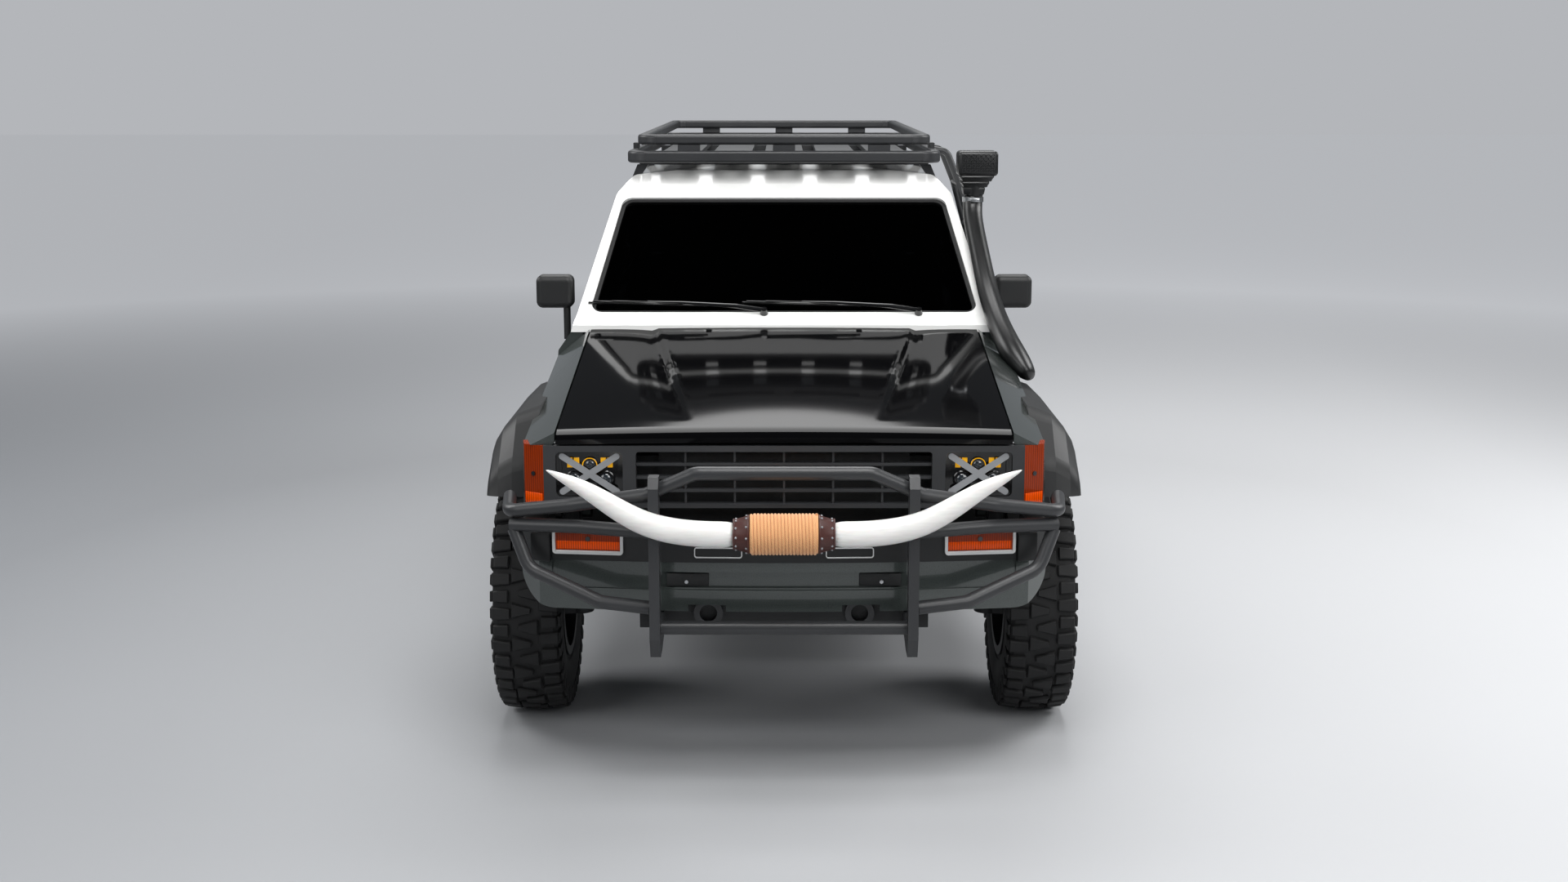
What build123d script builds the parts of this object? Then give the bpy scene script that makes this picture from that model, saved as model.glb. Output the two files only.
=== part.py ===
"""Lifted two-door sport utility vehicle with bull bar, horn trophy, snorkel, roof rack and side ladder.

Millimetres. +X is the vehicle's left, -Y is forward, +Z is up.
The origin is on the ground, under the middle of the vehicle.
"""

import os
from math import atan2, cos, degrees, hypot, pi, sin, sqrt

from build123d import *

os.makedirs("parts", exist_ok=True)

# Overall layout
wheelbase = 2625
nose_overhang = 1022  # front axle to the front of the horn binding
rear_overhang = 1011  # rear axle to the back of the rear bumper
track = 1656
half_length = (nose_overhang + wheelbase + rear_overhang) / 2
front_axle_y = nose_overhang - half_length
rear_axle_y = front_axle_y + wheelbase
tail_y = half_length
wheel_x = track / 2

# Fits
seat_gap = 0.3  # between pieces that rest against each other
shut_line = 6  # round doors, hood and tailgate
door_flange = 12  # outer skin that laps past the door's inner box
weld_overlap = 5  # how far fused members run into each other

# Wheels and tyres
tyre_radius = 400
tyre_width = 224
tread_width = 190
tread_crown = 8
rim_radius = 205
rim_width = 210
rim_wall = 16
rim_flange = 8
rim_flange_rise = 14
disc_offset = 24  # wheel disc's outer face from the rim's middle
disc_wall = 10
hub_radius = 53.7
hub_reach = 70  # hub's nose past the rim's middle
axle_z = tyre_radius

# Body side, as (x, z) of the skin on the left
sill_x, sill_z = 785, 505
waist_x, waist_z = 820, 850
shoulder_x, shoulder_z = 806, 1150
belt_x, belt_z = 760, 1215
eave_x, eave_z = 633, 1676
roof_edge_x, roof_edge_z = 575, 1738
roof_top_z = 1772
door_bottom_z = 545
door_wall = 90
frame_wall = 42  # window frames, pillars and the top's walls
quarter_wall = 60
fender_wall = 24
fender_top_wall = 30

# Stations along the body
fender_nose_y = front_axle_y - 672
hood_nose_y = front_axle_y - 690
cowl_y = front_axle_y + 476
door_front_y = cowl_y + 12
door_length = 1108
door_rear_y = door_front_y + door_length
body_rear_y = tail_y - 55
quarter_front_y = door_rear_y + shut_line
firewall_y = cowl_y - 46

# Hood
hood_wall = 24
hood_rear_edge = (686, 1226)  # half width and height of its side edge at the cowl
hood_front_edge = (678, 1070)
hood_crown = 22
hood_lip_drop = 4
bulge_rear_half, bulge_front_half = 480, 296
bulge_height = 20

# Windshield line, and the glass on it
glass_bottom_y, glass_bottom_z = front_axle_y + 566, 1276
glass_top_y, glass_top_z = front_axle_y + 990, 1658
glass_bottom_half, glass_top_half = 701, 606
glass_corner = 40
glass_depth = 16  # outer face of the fixed glass below the skin
glass_thickness = 6
pillar_depth = 96
header_y = front_axle_y + 1125
roof_split_z = eave_z - 8
top_seam_y = door_rear_y + 44
tail_rake = 92  # how far the rear window leans forward, from belt to eave

# Wheel arches
arch_half_low, arch_half_top = 440, 300
arch_knee_z, arch_top_z = 800, 965
arch_corner = 90
flare_low_z = 830
flare_tip_x = 925

# Ladder frame
rail_x, rail_width, rail_depth = 400, 70, 105
front_horn_y = front_axle_y - 700

# Rear bumper
rear_bumper_half, rear_bumper_depth = 780, 120
rear_bumper_bottom_z, rear_bumper_top_z = 500, 590

# Tailgate and the posts beside it
post_wall, post_depth = 122, 72
gate_half = shoulder_x - post_wall - shut_line - 8
gate_bottom_z, gate_top_z = 606, belt_z - 8
gate_wall = 66

# Bull bar and horns
bar_tube = 20  # tube radius
upright_x, upright_wall = 373, 30
upright_front_y = front_axle_y - 950
horn_y = front_axle_y - 962
horn_root_z = 832
binding_radius = half_length + horn_y  # the binding is the foremost point
binding_half = 98
collar_length = 48

# Roof rack
rack_front_y, rack_rear_y = front_axle_y + 1000, front_axle_y + 3300
rack_lower_half, rack_upper_half = 595, 557
rack_rise = 38  # lower ring's middle over the roof
rack_ring_pitch = 64  # lower ring's middle to the upper ring's
rack_lower_z = roof_top_z + rack_rise
rack_upper_z = rack_lower_z + rack_ring_pitch
rack_lower_depth, rack_upper_depth = 46, 38
rack_rail_width = 38
rack_corner = 70
slat_width, slat_gap, slat_count = 150, 52, 5

pieces = {}


def yz(x):
    """Plane seen from the left, at x. Its sketches are drawn in (y, z)."""
    return Plane.YZ.offset(x)


def xz(y):
    """Plane seen from the front, at y. Its sketches are drawn in (x, z), and it extrudes forwards."""
    return Plane.XZ.offset(-y)


def side_wall_lines(wall, grow=0.0):
    """Closed outline, seen from the front, of the left body side from sill to belt."""
    skin = [(sill_x, sill_z), (waist_x, waist_z), (shoulder_x, shoulder_z), (belt_x, belt_z)]
    outer = [(x + grow, z) for x, z in skin]
    inner = [(x - wall, z) for x, z in skin]
    ThreePointArc(*outer[:3])
    Polyline(outer[2], outer[3], inner[3], inner[2])
    ThreePointArc(*reversed(inner[:3]))
    Line(inner[0], outer[0])


def door_section_lines(lower_wall, upper_wall):
    """Closed outline, seen from the front, of the left door from sill to eave."""
    skin = [(sill_x, sill_z), (waist_x, waist_z), (shoulder_x, shoulder_z)]
    inner = [(x - lower_wall, z) for x, z in skin]
    ThreePointArc(*skin)
    Polyline(
        skin[2],
        (belt_x, belt_z),
        (eave_x, eave_z),
        (eave_x - upper_wall, eave_z),
        (belt_x - upper_wall, belt_z),
        inner[2],
    )
    ThreePointArc(*reversed(inner))
    Line(inner[0], skin[0])


def arch_outline(axle_y, grow=0.0, low_z=sill_z - 40):
    """Wheel arch opening, seen from the left."""
    low, top = arch_half_low + grow, arch_half_top + grow / 2
    with BuildLine() as outline:
        Polyline(
            (axle_y - low, low_z),
            (axle_y - low, arch_knee_z),
            (axle_y - top, arch_top_z + grow),
            (axle_y + top, arch_top_z + grow),
            (axle_y + low, arch_knee_z),
            (axle_y + low, low_z),
            close=True,
        )
    made = make_face(outline.edges())
    fillet([v for v in made.vertices() if v.Y > low_z + 1], radius=arch_corner)


def greenhouse(inset, floor_z):
    """Cabin's upper volume over the belt, with every face drawn in by `inset`."""
    with BuildPart() as volume:
        with BuildSketch(yz(-belt_x - 100)):
            with BuildLine():
                Polyline(
                    (cowl_y + 6, floor_z),
                    (cowl_y + 6, hood_rear_edge[1] + 14),
                    (glass_bottom_y - 8, glass_bottom_z - 7),
                    (glass_top_y + 55, glass_top_z + 50),
                    (header_y + 10, roof_top_z - 18),
                    (header_y + 320, roof_top_z + 8),
                    (body_rear_y - 380, roof_top_z + 8),
                    (body_rear_y - 150, roof_top_z - 40),
                    (body_rear_y - tail_rake, eave_z),
                    (body_rear_y + tail_rake * (belt_z - floor_z) / (eave_z - belt_z), floor_z),
                    close=True,
                )
            make_face()
            if inset:
                offset(amount=-inset, kind=Kind.INTERSECTION)
        extrude(amount=2 * belt_x + 200)
        with BuildSketch(xz(body_rear_y + 10)):
            slope = (belt_x - eave_x) / (eave_z - belt_z)
            foot_x = belt_x + slope * (belt_z - floor_z)
            with BuildLine():
                Polyline(
                    (-roof_edge_x, roof_edge_z),
                    (-eave_x, eave_z),
                    (-foot_x, floor_z),
                    (foot_x, floor_z),
                    (eave_x, eave_z),
                    (roof_edge_x, roof_edge_z),
                )
                ThreePointArc((roof_edge_x, roof_edge_z), (0, roof_top_z), (-roof_edge_x, roof_edge_z))
            made = make_face()
            fillet([v for v in made.vertices() if v.Y > belt_z + 1], radius=45)
            if inset:
                offset(amount=-inset, kind=Kind.INTERSECTION)
        extrude(amount=body_rear_y - cowl_y + 60, mode=Mode.INTERSECT)
    return volume.part


def windshield_plane():
    """Plane on the glass line, with its origin at the glass's lower edge and its Y up the glass."""
    run, rise = glass_top_y - glass_bottom_y, glass_top_z - glass_bottom_z
    length = hypot(run, rise)
    return Plane(
        origin=(0, glass_bottom_y, glass_bottom_z),
        x_dir=(1, 0, 0),
        z_dir=(0, -rise / length, run / length),
    )


def windshield_outline(clearance=0.0):
    length = hypot(glass_top_y - glass_bottom_y, glass_top_z - glass_bottom_z)
    with BuildLine() as outline:
        Polyline(
            (-glass_bottom_half, 0),
            (glass_bottom_half, 0),
            (glass_top_half, length),
            (-glass_top_half, length),
            close=True,
        )
    made = make_face(outline.edges())
    fillet(made.vertices(), radius=glass_corner)
    if clearance:
        offset(amount=-clearance)


def quarter_window_outline(clearance=0.0):
    """Long side window of the hard top, seen from the left."""
    front_y, rear_y = top_seam_y + 84, body_rear_y - 190
    low_z, high_z = belt_z + 52, roof_split_z - 62
    with BuildLine() as outline:
        Polyline(
            (front_y, low_z),
            (rear_y + 40, low_z),
            (rear_y - 30, high_z),
            (front_y, high_z),
            close=True,
        )
    made = make_face(outline.edges())
    fillet(made.vertices(), radius=55)
    if clearance:
        offset(amount=-clearance)


rear_window_half_low, rear_window_half_top = 668, 590


def rear_window_outline(clearance=0.0):
    """Rear window between the corner pillars, seen from the front."""
    low_z, high_z = belt_z - 2, roof_split_z
    with BuildLine() as outline:
        Polyline(
            (-rear_window_half_low, low_z),
            (rear_window_half_low, low_z),
            (rear_window_half_top, high_z),
            (-rear_window_half_top, high_z),
            close=True,
        )
    make_face(outline.edges())
    if clearance:
        offset(amount=-clearance, kind=Kind.INTERSECTION)


def door_outline(inset=0.0):
    """Left door's outline, seen from the left; its front upper edge follows the pillar."""
    run, rise = glass_top_y - glass_bottom_y, glass_top_z - glass_bottom_z
    back = pillar_depth + shut_line

    def pillar_y(z):
        return glass_bottom_y + back + (z - glass_bottom_z) * run / rise

    top_z = roof_split_z - shut_line
    with BuildLine() as outline:
        Polyline(
            (door_front_y, door_bottom_z),
            (door_rear_y, door_bottom_z),
            (door_rear_y, top_z),
            (pillar_y(top_z), top_z),
            (pillar_y(belt_z), belt_z),
            (door_front_y, belt_z),
            close=True,
        )
    make_face(outline.edges())
    if inset:
        offset(amount=-inset, kind=Kind.INTERSECTION)


window_border = 52
window_corner = 26


def door_window_outline(clearance=0.0):
    """Window in the left door, over the belt."""
    run, rise = glass_top_y - glass_bottom_y, glass_top_z - glass_bottom_z
    low_z, high_z = belt_z + 22, roof_split_z - shut_line - window_border

    def front_y(z):
        pillar_edge_y = glass_bottom_y + pillar_depth + shut_line
        return pillar_edge_y + window_border * 1.3 + (z - glass_bottom_z) * run / rise

    with BuildLine() as outline:
        Polyline(
            (front_y(low_z), low_z),
            (door_rear_y - window_border, low_z),
            (door_rear_y - window_border, high_z),
            (front_y(high_z), high_z),
            close=True,
        )
    made = make_face(outline.edges())
    fillet(made.vertices(), radius=window_corner)
    if clearance:
        offset(amount=-clearance)


def both_sides(x_far):
    """Extrudes the pending side view through the whole width."""
    extrude(amount=x_far, both=True, mode=Mode.SUBTRACT)


def tube(path_points, corner_radius, radius):
    """Round bar along straight runs joined by tangent arcs, added to the part being built."""
    with BuildLine() as path:
        FilletPolyline(*path_points, radius=corner_radius)
    start = path.line @ 0
    with BuildSketch(Plane(origin=start, z_dir=path.line % 0)) as section:
        Circle(radius)
    sweep(section.sketch, path=path.line)


# Hood: a crowned panel with a rolled front lip and a raised middle that fades towards the nose.
hood_stations = [  # (y, half width, edge z, crown)
    (cowl_y, *hood_rear_edge, hood_crown),
    (fender_nose_y + 26, *hood_front_edge, hood_crown * 0.8),
    (hood_nose_y, hood_front_edge[0], hood_front_edge[1] - hood_lip_drop, hood_crown * 0.5),
]
with BuildPart() as hood:
    for y, half, edge, crown in hood_stations:
        with BuildSketch(xz(y)):
            with BuildLine():
                ThreePointArc((-half, edge), (0, edge + crown), (half, edge))
                Line((half, edge), (half, edge - hood_wall))
                ThreePointArc(
                    (half, edge - hood_wall), (0, edge + crown - hood_wall), (-half, edge - hood_wall)
                )
                Line((-half, edge - hood_wall), (-half, edge))
            make_face()
    loft(ruled=True)
    bulge_stations = [  # (y, half width, top z)
        (cowl_y, bulge_rear_half, hood_rear_edge[1] + hood_crown + bulge_height),
        (fender_nose_y + 110, bulge_front_half, hood_front_edge[1] + hood_crown + 8),
    ]
    for y, half, top in bulge_stations:
        with BuildSketch(xz(y)):
            with BuildLine():
                Polyline(
                    (half + bulge_height, top - bulge_height - hood_crown),
                    (half - bulge_height, top - 8),
                )
                ThreePointArc((half - bulge_height, top - 8), (0, top), (bulge_height - half, top - 8))
                Polyline(
                    (bulge_height - half, top - 8),
                    (-half - bulge_height, top - bulge_height - hood_crown),
                    (half + bulge_height, top - bulge_height - hood_crown),
                )
            make_face()
    loft(ruled=True)
pieces["hood"] = hood

# Ladder frame: two rails that rise over the axles, and the cross members between them.
rail_stations = [  # (y, height of the rail's underside)
    (front_horn_y, 478),
    (front_axle_y - 520, 478),
    (front_axle_y - 330, 520),
    (front_axle_y + 330, 520),
    (front_axle_y + 560, 470),
    (rear_axle_y - 640, 470),
    (rear_axle_y - 380, 560),
    (rear_axle_y + 420, 560),
    (tail_y - rear_bumper_depth - seat_gap, 488),
]


def rail_under(y):
    """Height of the rail's underside at y."""
    for (y0, z0), (y1, z1) in zip(rail_stations, rail_stations[1:]):
        if y0 <= y <= y1:
            return z0 + (z1 - z0) * (y - y0) / (y1 - y0)
    return rail_stations[-1][1]


cross_member_stations = [  # (y, height of the underside)
    (front_horn_y + 60, 488),
    (front_axle_y + 1220, 480),
    (rear_axle_y - 700, 480),
    (rear_axle_y + 380, 570),
    (body_rear_y - 118, 505),
]
cross_member = (80, 70)
with BuildPart() as ladder_frame:
    for rail_side in (-1, 1):
        with BuildSketch(yz(rail_side * rail_x - rail_width / 2)):
            with BuildLine():
                upper = [(y, z + rail_depth) for y, z in reversed(rail_stations)]
                Polyline(*rail_stations, *upper, close=True)
            make_face()
        extrude(amount=rail_width)
    member_length = 2 * rail_x - rail_width - 2 * seat_gap
    for y, z in cross_member_stations:
        with Locations((0, y, z)):
            Box(
                member_length,
                *cross_member,
                align=(Align.CENTER, Align.CENTER, Align.MIN),
            )
pieces["ladder_frame"] = ladder_frame

# Body tub: floors, bulkheads, rockers, front aprons and rear wheel houses.
floor_z, floor_wall = 632, 28
firewall_half, firewall_wall = 676, 24
cargo_floor_z = 742
cab_floor_half = 690
rear_wall_y = body_rear_y - 76
apron_x = 478
apron_wall = 14
apron_ledge_half = 640
apron_top_z = 1020
house_inner_x, house_wall = 590, 20
house_outer_x = waist_x - quarter_wall - 25
step_y = door_rear_y + 70
with BuildPart() as wheel_house:
    with BuildSketch(yz(house_inner_x)):
        arch_outline(rear_axle_y, grow=house_wall, low_z=cargo_floor_z - floor_wall)
    extrude(amount=house_outer_x - house_inner_x)
    with BuildSketch(yz(house_inner_x + house_wall)):
        arch_outline(rear_axle_y, low_z=cargo_floor_z - floor_wall - 10)
    extrude(amount=house_outer_x, mode=Mode.SUBTRACT)
with BuildPart() as body_tub:
    with Locations((0, firewall_y, floor_z - floor_wall)):
        Box(
            2 * firewall_half,
            firewall_wall,
            belt_z - floor_z + floor_wall,
            align=(Align.CENTER, Align.MIN, Align.MIN),
        )
    add(hood.part.moved(Location((0, 0, -seat_gap))), mode=Mode.SUBTRACT)
    with Locations((0, firewall_y + firewall_wall + seat_gap, floor_z)):
        Box(
            2 * cab_floor_half,
            step_y - firewall_y - firewall_wall - seat_gap,
            floor_wall,
            align=(Align.CENTER, Align.MIN, Align.MAX),
        )
    with Locations((0, step_y + seat_gap, cargo_floor_z - floor_wall - seat_gap)):
        Box(
            2 * (house_inner_x - seat_gap),
            floor_wall,
            cargo_floor_z - floor_z,
            align=(Align.CENTER, Align.MIN, Align.MAX),
        )
    with Locations((0, step_y + seat_gap, cargo_floor_z)):
        Box(
            2 * (house_inner_x - seat_gap),
            rear_wall_y - step_y - 2 * seat_gap,
            floor_wall,
            align=(Align.CENTER, Align.MIN, Align.MAX),
        )
    for tub_side in (-1, 1):
        with BuildSketch(xz(quarter_front_y - seat_gap)):
            with BuildLine():
                Polyline(
                    (tub_side * (cab_floor_half - 80), sill_z),
                    (tub_side * (sill_x - 4), sill_z),
                    (tub_side * (sill_x - 2), door_bottom_z - shut_line),
                    (tub_side * (cab_floor_half + 6), door_bottom_z - shut_line),
                    (tub_side * cab_floor_half, floor_z - floor_wall - seat_gap),
                    (tub_side * (cab_floor_half - 80), floor_z - floor_wall - seat_gap),
                    close=True,
                )
            make_face()
        extrude(amount=quarter_front_y - cowl_y - 2 * seat_gap)
        with BuildSketch(xz(firewall_y - seat_gap)):
            with BuildLine():
                Polyline(
                    (tub_side * apron_x, 640),
                    (tub_side * (apron_x + apron_wall), 640),
                    (tub_side * (apron_x + apron_wall), apron_top_z - apron_wall),
                    (tub_side * apron_ledge_half, apron_top_z - apron_wall),
                    (tub_side * apron_ledge_half, apron_top_z),
                    (tub_side * apron_x, apron_top_z),
                    close=True,
                )
            make_face()
        extrude(amount=firewall_y - seat_gap - front_axle_y + 600)
    with Locations((0, body_rear_y - 8, rear_bumper_top_z + seat_gap)):
        Box(
            2 * gate_half,
            50,
            gate_bottom_z - rear_bumper_top_z - 2 * seat_gap,
            align=(Align.CENTER, Align.MAX, Align.MIN),
        )
    add(wheel_house.part)
    mirror(wheel_house.part, about=Plane.YZ)
pieces["body_tub"] = body_tub

# Front fenders, lofted from the cowl to the nose, with the arch and the lamp corner cut out.
fender_stations = [  # (y, sill x, waist x, waist z, shoulder x, shoulder z, hood edge x, hood edge z)
    (
        cowl_y,
        sill_x,
        waist_x,
        waist_z,
        shoulder_x,
        shoulder_z - 18,
        hood_rear_edge[0] + shut_line,
        hood_rear_edge[1],
    ),
    (fender_nose_y, 757, 789, 820, 784, 1020, hood_front_edge[0] + shut_line, hood_front_edge[1]),
]
lamp_top_z = 1034
lamp_rear_y = front_axle_y - 590
bumper_shelf_z = 838


def fender_envelope_lines(station, grow):
    """Fender section filled in to the middle, grown by the seat gap, for cutting the flares."""
    _, sill, waist, waist_height, shoulder, shoulder_height, edge, edge_height = station
    ThreePointArc(
        (sill + grow, sill_z), (waist + grow, waist_height), (shoulder + grow, shoulder_height)
    )
    Polyline(
        (shoulder + grow, shoulder_height),
        (edge, edge_height + grow),
        (edge, sill_z),
        (sill + grow, sill_z),
    )


def fender_lines(station):
    _, sill, waist, waist_height, shoulder, shoulder_height, edge, edge_height = station
    skin = [(sill, sill_z), (waist, waist_height), (shoulder, shoulder_height)]
    inner = [
        (sill - fender_wall, sill_z),
        (waist - fender_wall, waist_height),
        (shoulder - fender_wall, shoulder_height - fender_top_wall),
    ]
    ThreePointArc(*skin)
    Polyline(skin[2], (edge, edge_height), (edge, edge_height - fender_top_wall), inner[2])
    ThreePointArc(*reversed(inner))
    Line(inner[0], skin[0])


with BuildPart() as front_fenders:
    for station in fender_stations:
        with BuildSketch(xz(station[0])):
            with BuildLine():
                fender_lines(station)
            make_face()
    loft(ruled=True)
    with BuildSketch(yz(0)):
        arch_outline(front_axle_y)
    both_sides(belt_x + 200)
    with BuildSketch(yz(0)):
        with BuildLine():
            Polyline(
                (fender_nose_y - 10, sill_z - 10),
                (fender_nose_y - 10, lamp_top_z),
                (lamp_rear_y, lamp_top_z),
                (lamp_rear_y, bumper_shelf_z),
                (front_axle_y - arch_half_low + 20, bumper_shelf_z),
                (front_axle_y - arch_half_low + 20, sill_z - 10),
                close=True,
            )
        make_face()
    both_sides(belt_x + 200)
    mirror(about=Plane.YZ)
pieces["front_fenders"] = front_fenders

# Upper cabin: one shell, parted into the windshield frame, the steel roof and the hard top.
with BuildPart() as shell:
    add(greenhouse(0, belt_z))
    add(greenhouse(frame_wall, belt_z - 2 * frame_wall), mode=Mode.SUBTRACT)
    with BuildSketch(windshield_plane()):
        windshield_outline()
    extrude(amount=90, both=True, mode=Mode.SUBTRACT)
    with BuildSketch(yz(0)):
        quarter_window_outline()
    both_sides(belt_x + 100)
    with BuildSketch(xz(body_rear_y + 20)):
        rear_window_outline()
    extrude(amount=170, mode=Mode.SUBTRACT)


def keep_region(outline_points):
    """Keeps what lies inside a side-view outline of the part being built."""
    with BuildSketch(yz(-belt_x - 200)) as region:
        with BuildLine():
            Polyline(*outline_points, close=True)
        make_face()
    extrude(region.sketch, amount=2 * belt_x + 400, mode=Mode.INTERSECT)


sky_z = roof_top_z + 100
pillar_slope = (glass_top_y - glass_bottom_y) / (glass_top_z - glass_bottom_z)


def pillar_back_y(z):
    """Rear edge of the windshield pillar at height z."""
    return glass_bottom_y + pillar_depth + (z - glass_bottom_z) * pillar_slope


with BuildPart() as windshield_frame:
    add(shell.part)
    keep_region(
        [
            (cowl_y - 10, belt_z - 10),
            (cowl_y - 10, sky_z),
            (header_y, sky_z),
            (header_y, roof_split_z),
            (pillar_back_y(roof_split_z), roof_split_z),
            (pillar_back_y(belt_z - 10), belt_z - 10),
        ]
    )
pieces["windshield_frame"] = windshield_frame

with BuildPart() as cab_roof:
    add(shell.part)
    keep_region(
        [
            (header_y + seat_gap, roof_split_z),
            (header_y + seat_gap, sky_z),
            (top_seam_y - shut_line / 2, sky_z),
            (top_seam_y - shut_line / 2, roof_split_z),
        ]
    )
pieces["cab_roof"] = cab_roof

with BuildPart() as hardtop:
    add(shell.part)
    keep_region(
        [
            (quarter_front_y, belt_z + seat_gap),
            (quarter_front_y, roof_split_z),
            (top_seam_y, roof_split_z),
            (top_seam_y, sky_z),
            (body_rear_y + 20, sky_z),
            (body_rear_y + 20, belt_z + seat_gap),
        ]
    )
    with Locations((0, 0, roof_split_z)):
        Box(4 * belt_x, 4 * half_length, seat_gap, mode=Mode.SUBTRACT)
pieces["hardtop"] = hardtop

# Fixed glass: one thin shell inside the cabin's skin, kept only in the window openings.
with BuildPart() as window_plugs:
    with BuildSketch(windshield_plane()):
        windshield_outline(seat_gap)
    extrude(amount=80, both=True)
    with BuildSketch(yz(0)):
        quarter_window_outline(seat_gap)
    extrude(amount=belt_x + 100, both=True)
    with BuildSketch(xz(body_rear_y + 20)):
        rear_window_outline(seat_gap)
    extrude(amount=170)
with BuildPart() as fixed_glass:
    add(greenhouse(glass_depth, belt_z - 2 * frame_wall))
    add(greenhouse(glass_depth + glass_thickness, belt_z - 4 * frame_wall), mode=Mode.SUBTRACT)
    add(window_plugs.part, mode=Mode.INTERSECT)
pieces["fixed_glass"] = fixed_glass

# Doors, with their window frames, glass and mirrors.
with BuildPart() as door_left:
    for wall, frame, rear_y in (
        (door_flange, door_flange, door_rear_y),
        (door_wall, frame_wall, door_rear_y - door_flange),
    ):
        with BuildSketch(xz(rear_y)):
            with BuildLine():
                door_section_lines(wall, frame)
            make_face()
        extrude(amount=rear_y - door_front_y)
    with BuildSketch(yz(0)):
        door_outline()
    extrude(amount=belt_x + 200, mode=Mode.INTERSECT)
    with BuildSketch(yz(0)):
        door_window_outline()
    extrude(amount=belt_x + 200, mode=Mode.SUBTRACT)
pieces["door_left"] = door_left

with BuildPart() as door_glass_left:
    with BuildSketch(xz(door_rear_y)):
        with BuildLine():
            near, far = frame_wall / 2, frame_wall / 2 + glass_thickness
            Polyline(
                (belt_x - near, belt_z),
                (eave_x - near, eave_z),
                (eave_x - far, eave_z),
                (belt_x - far, belt_z),
                close=True,
            )
        make_face()
    extrude(amount=door_length)
    with BuildSketch(yz(0)):
        door_window_outline(seat_gap)
    extrude(amount=belt_x + 200, mode=Mode.INTERSECT)
pieces["door_glass_left"] = door_glass_left

mirror_size = (136, 64, 120)
mirror_centre = (841, front_axle_y + 720, 1334)
stalk_radius = 13
with BuildPart() as mirror_left:
    with Locations(mirror_centre):
        Box(*mirror_size)
    fillet(mirror_left.edges().filter_by(Axis.Y), radius=24)
    fillet(mirror_left.faces().sort_by(Axis.Y)[0].edges(), radius=22)
    stalk_x = mirror_centre[0] - mirror_size[0] / 2 + 2 * stalk_radius
    stalk_foot_z = shoulder_z + 8
    with Locations((stalk_x, mirror_centre[1], stalk_foot_z)):
        Cylinder(
            stalk_radius,
            mirror_centre[2] - stalk_foot_z,
            align=(Align.CENTER, Align.CENTER, Align.MIN),
        )
    add(door_left.part, mode=Mode.SUBTRACT)
pieces["mirror_left"] = mirror_left

for left_name in ("door_left", "door_glass_left", "mirror_left"):
    with BuildPart() as right_piece:
        mirror(pieces[left_name].part, about=Plane.YZ)
    pieces[left_name.replace("left", "right")] = right_piece

# Rear quarter panels with the corner posts that carry the tail lamps.
tail_lamp = (92, 24, 250)
tail_lamp_z = 960
tail_lamp_x = shoulder_x - 66
with BuildPart() as quarter_panels:
    for wall, front_y in ((quarter_wall, quarter_front_y), (post_wall, body_rear_y - post_depth)):
        with BuildSketch(xz(body_rear_y)):
            with BuildLine():
                side_wall_lines(wall)
            make_face()
        extrude(amount=body_rear_y - front_y)
    with BuildSketch(yz(0)):
        arch_outline(rear_axle_y)
    extrude(amount=belt_x + 200, mode=Mode.SUBTRACT)
    with Locations((0, body_rear_y + 1, gate_bottom_z - shut_line)):
        Box(
            2 * (gate_half + shut_line),
            post_depth + 10,
            belt_z,
            align=(Align.CENTER, Align.MAX, Align.MIN),
            mode=Mode.SUBTRACT,
        )
        Box(
            4 * belt_x,
            post_depth + 10,
            belt_z,
            align=(Align.CENTER, Align.MAX, Align.MAX),
            mode=Mode.SUBTRACT,
        )
    with Locations((tail_lamp_x, body_rear_y, tail_lamp_z)):
        Box(
            *(size + 2 * seat_gap for size in tail_lamp),
            align=(Align.CENTER, Align.MAX, Align.CENTER),
            mode=Mode.SUBTRACT,
        )
    mirror(about=Plane.YZ)
pieces["quarter_panels"] = quarter_panels

with BuildPart() as tail_lamps:
    for lamp_side in (-1, 1):
        with Locations((lamp_side * tail_lamp_x, body_rear_y, tail_lamp_z)):
            Box(*tail_lamp, align=(Align.CENTER, Align.MAX, Align.CENTER))
    fillet(tail_lamps.faces().group_by(Axis.Y)[-1].edges().filter_by(Axis.Z), radius=8)
pieces["tail_lamps"] = tail_lamps

# Tailgate, hinged along its lower rear edge.
gate_press = (2 * 520, 10, 250)
gate_handle = (210, 22, 70)
with BuildPart() as tailgate:
    with Locations((0, body_rear_y, gate_bottom_z)):
        Box(
            2 * gate_half,
            gate_wall,
            gate_top_z - gate_bottom_z,
            align=(Align.CENTER, Align.MAX, Align.MIN),
        )
    chamfer(tailgate.faces().sort_by(Axis.Y)[-1].edges(), length=6)
    with Locations((0, body_rear_y, (gate_bottom_z + gate_top_z) / 2 - 40)):
        Box(*gate_press, align=(Align.CENTER, Align.MAX, Align.CENTER), mode=Mode.SUBTRACT)
    with Locations((0, body_rear_y, gate_top_z - 90)):
        Box(*gate_handle, align=(Align.CENTER, Align.MAX, Align.CENTER), mode=Mode.SUBTRACT)
pieces["tailgate"] = tailgate

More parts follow.
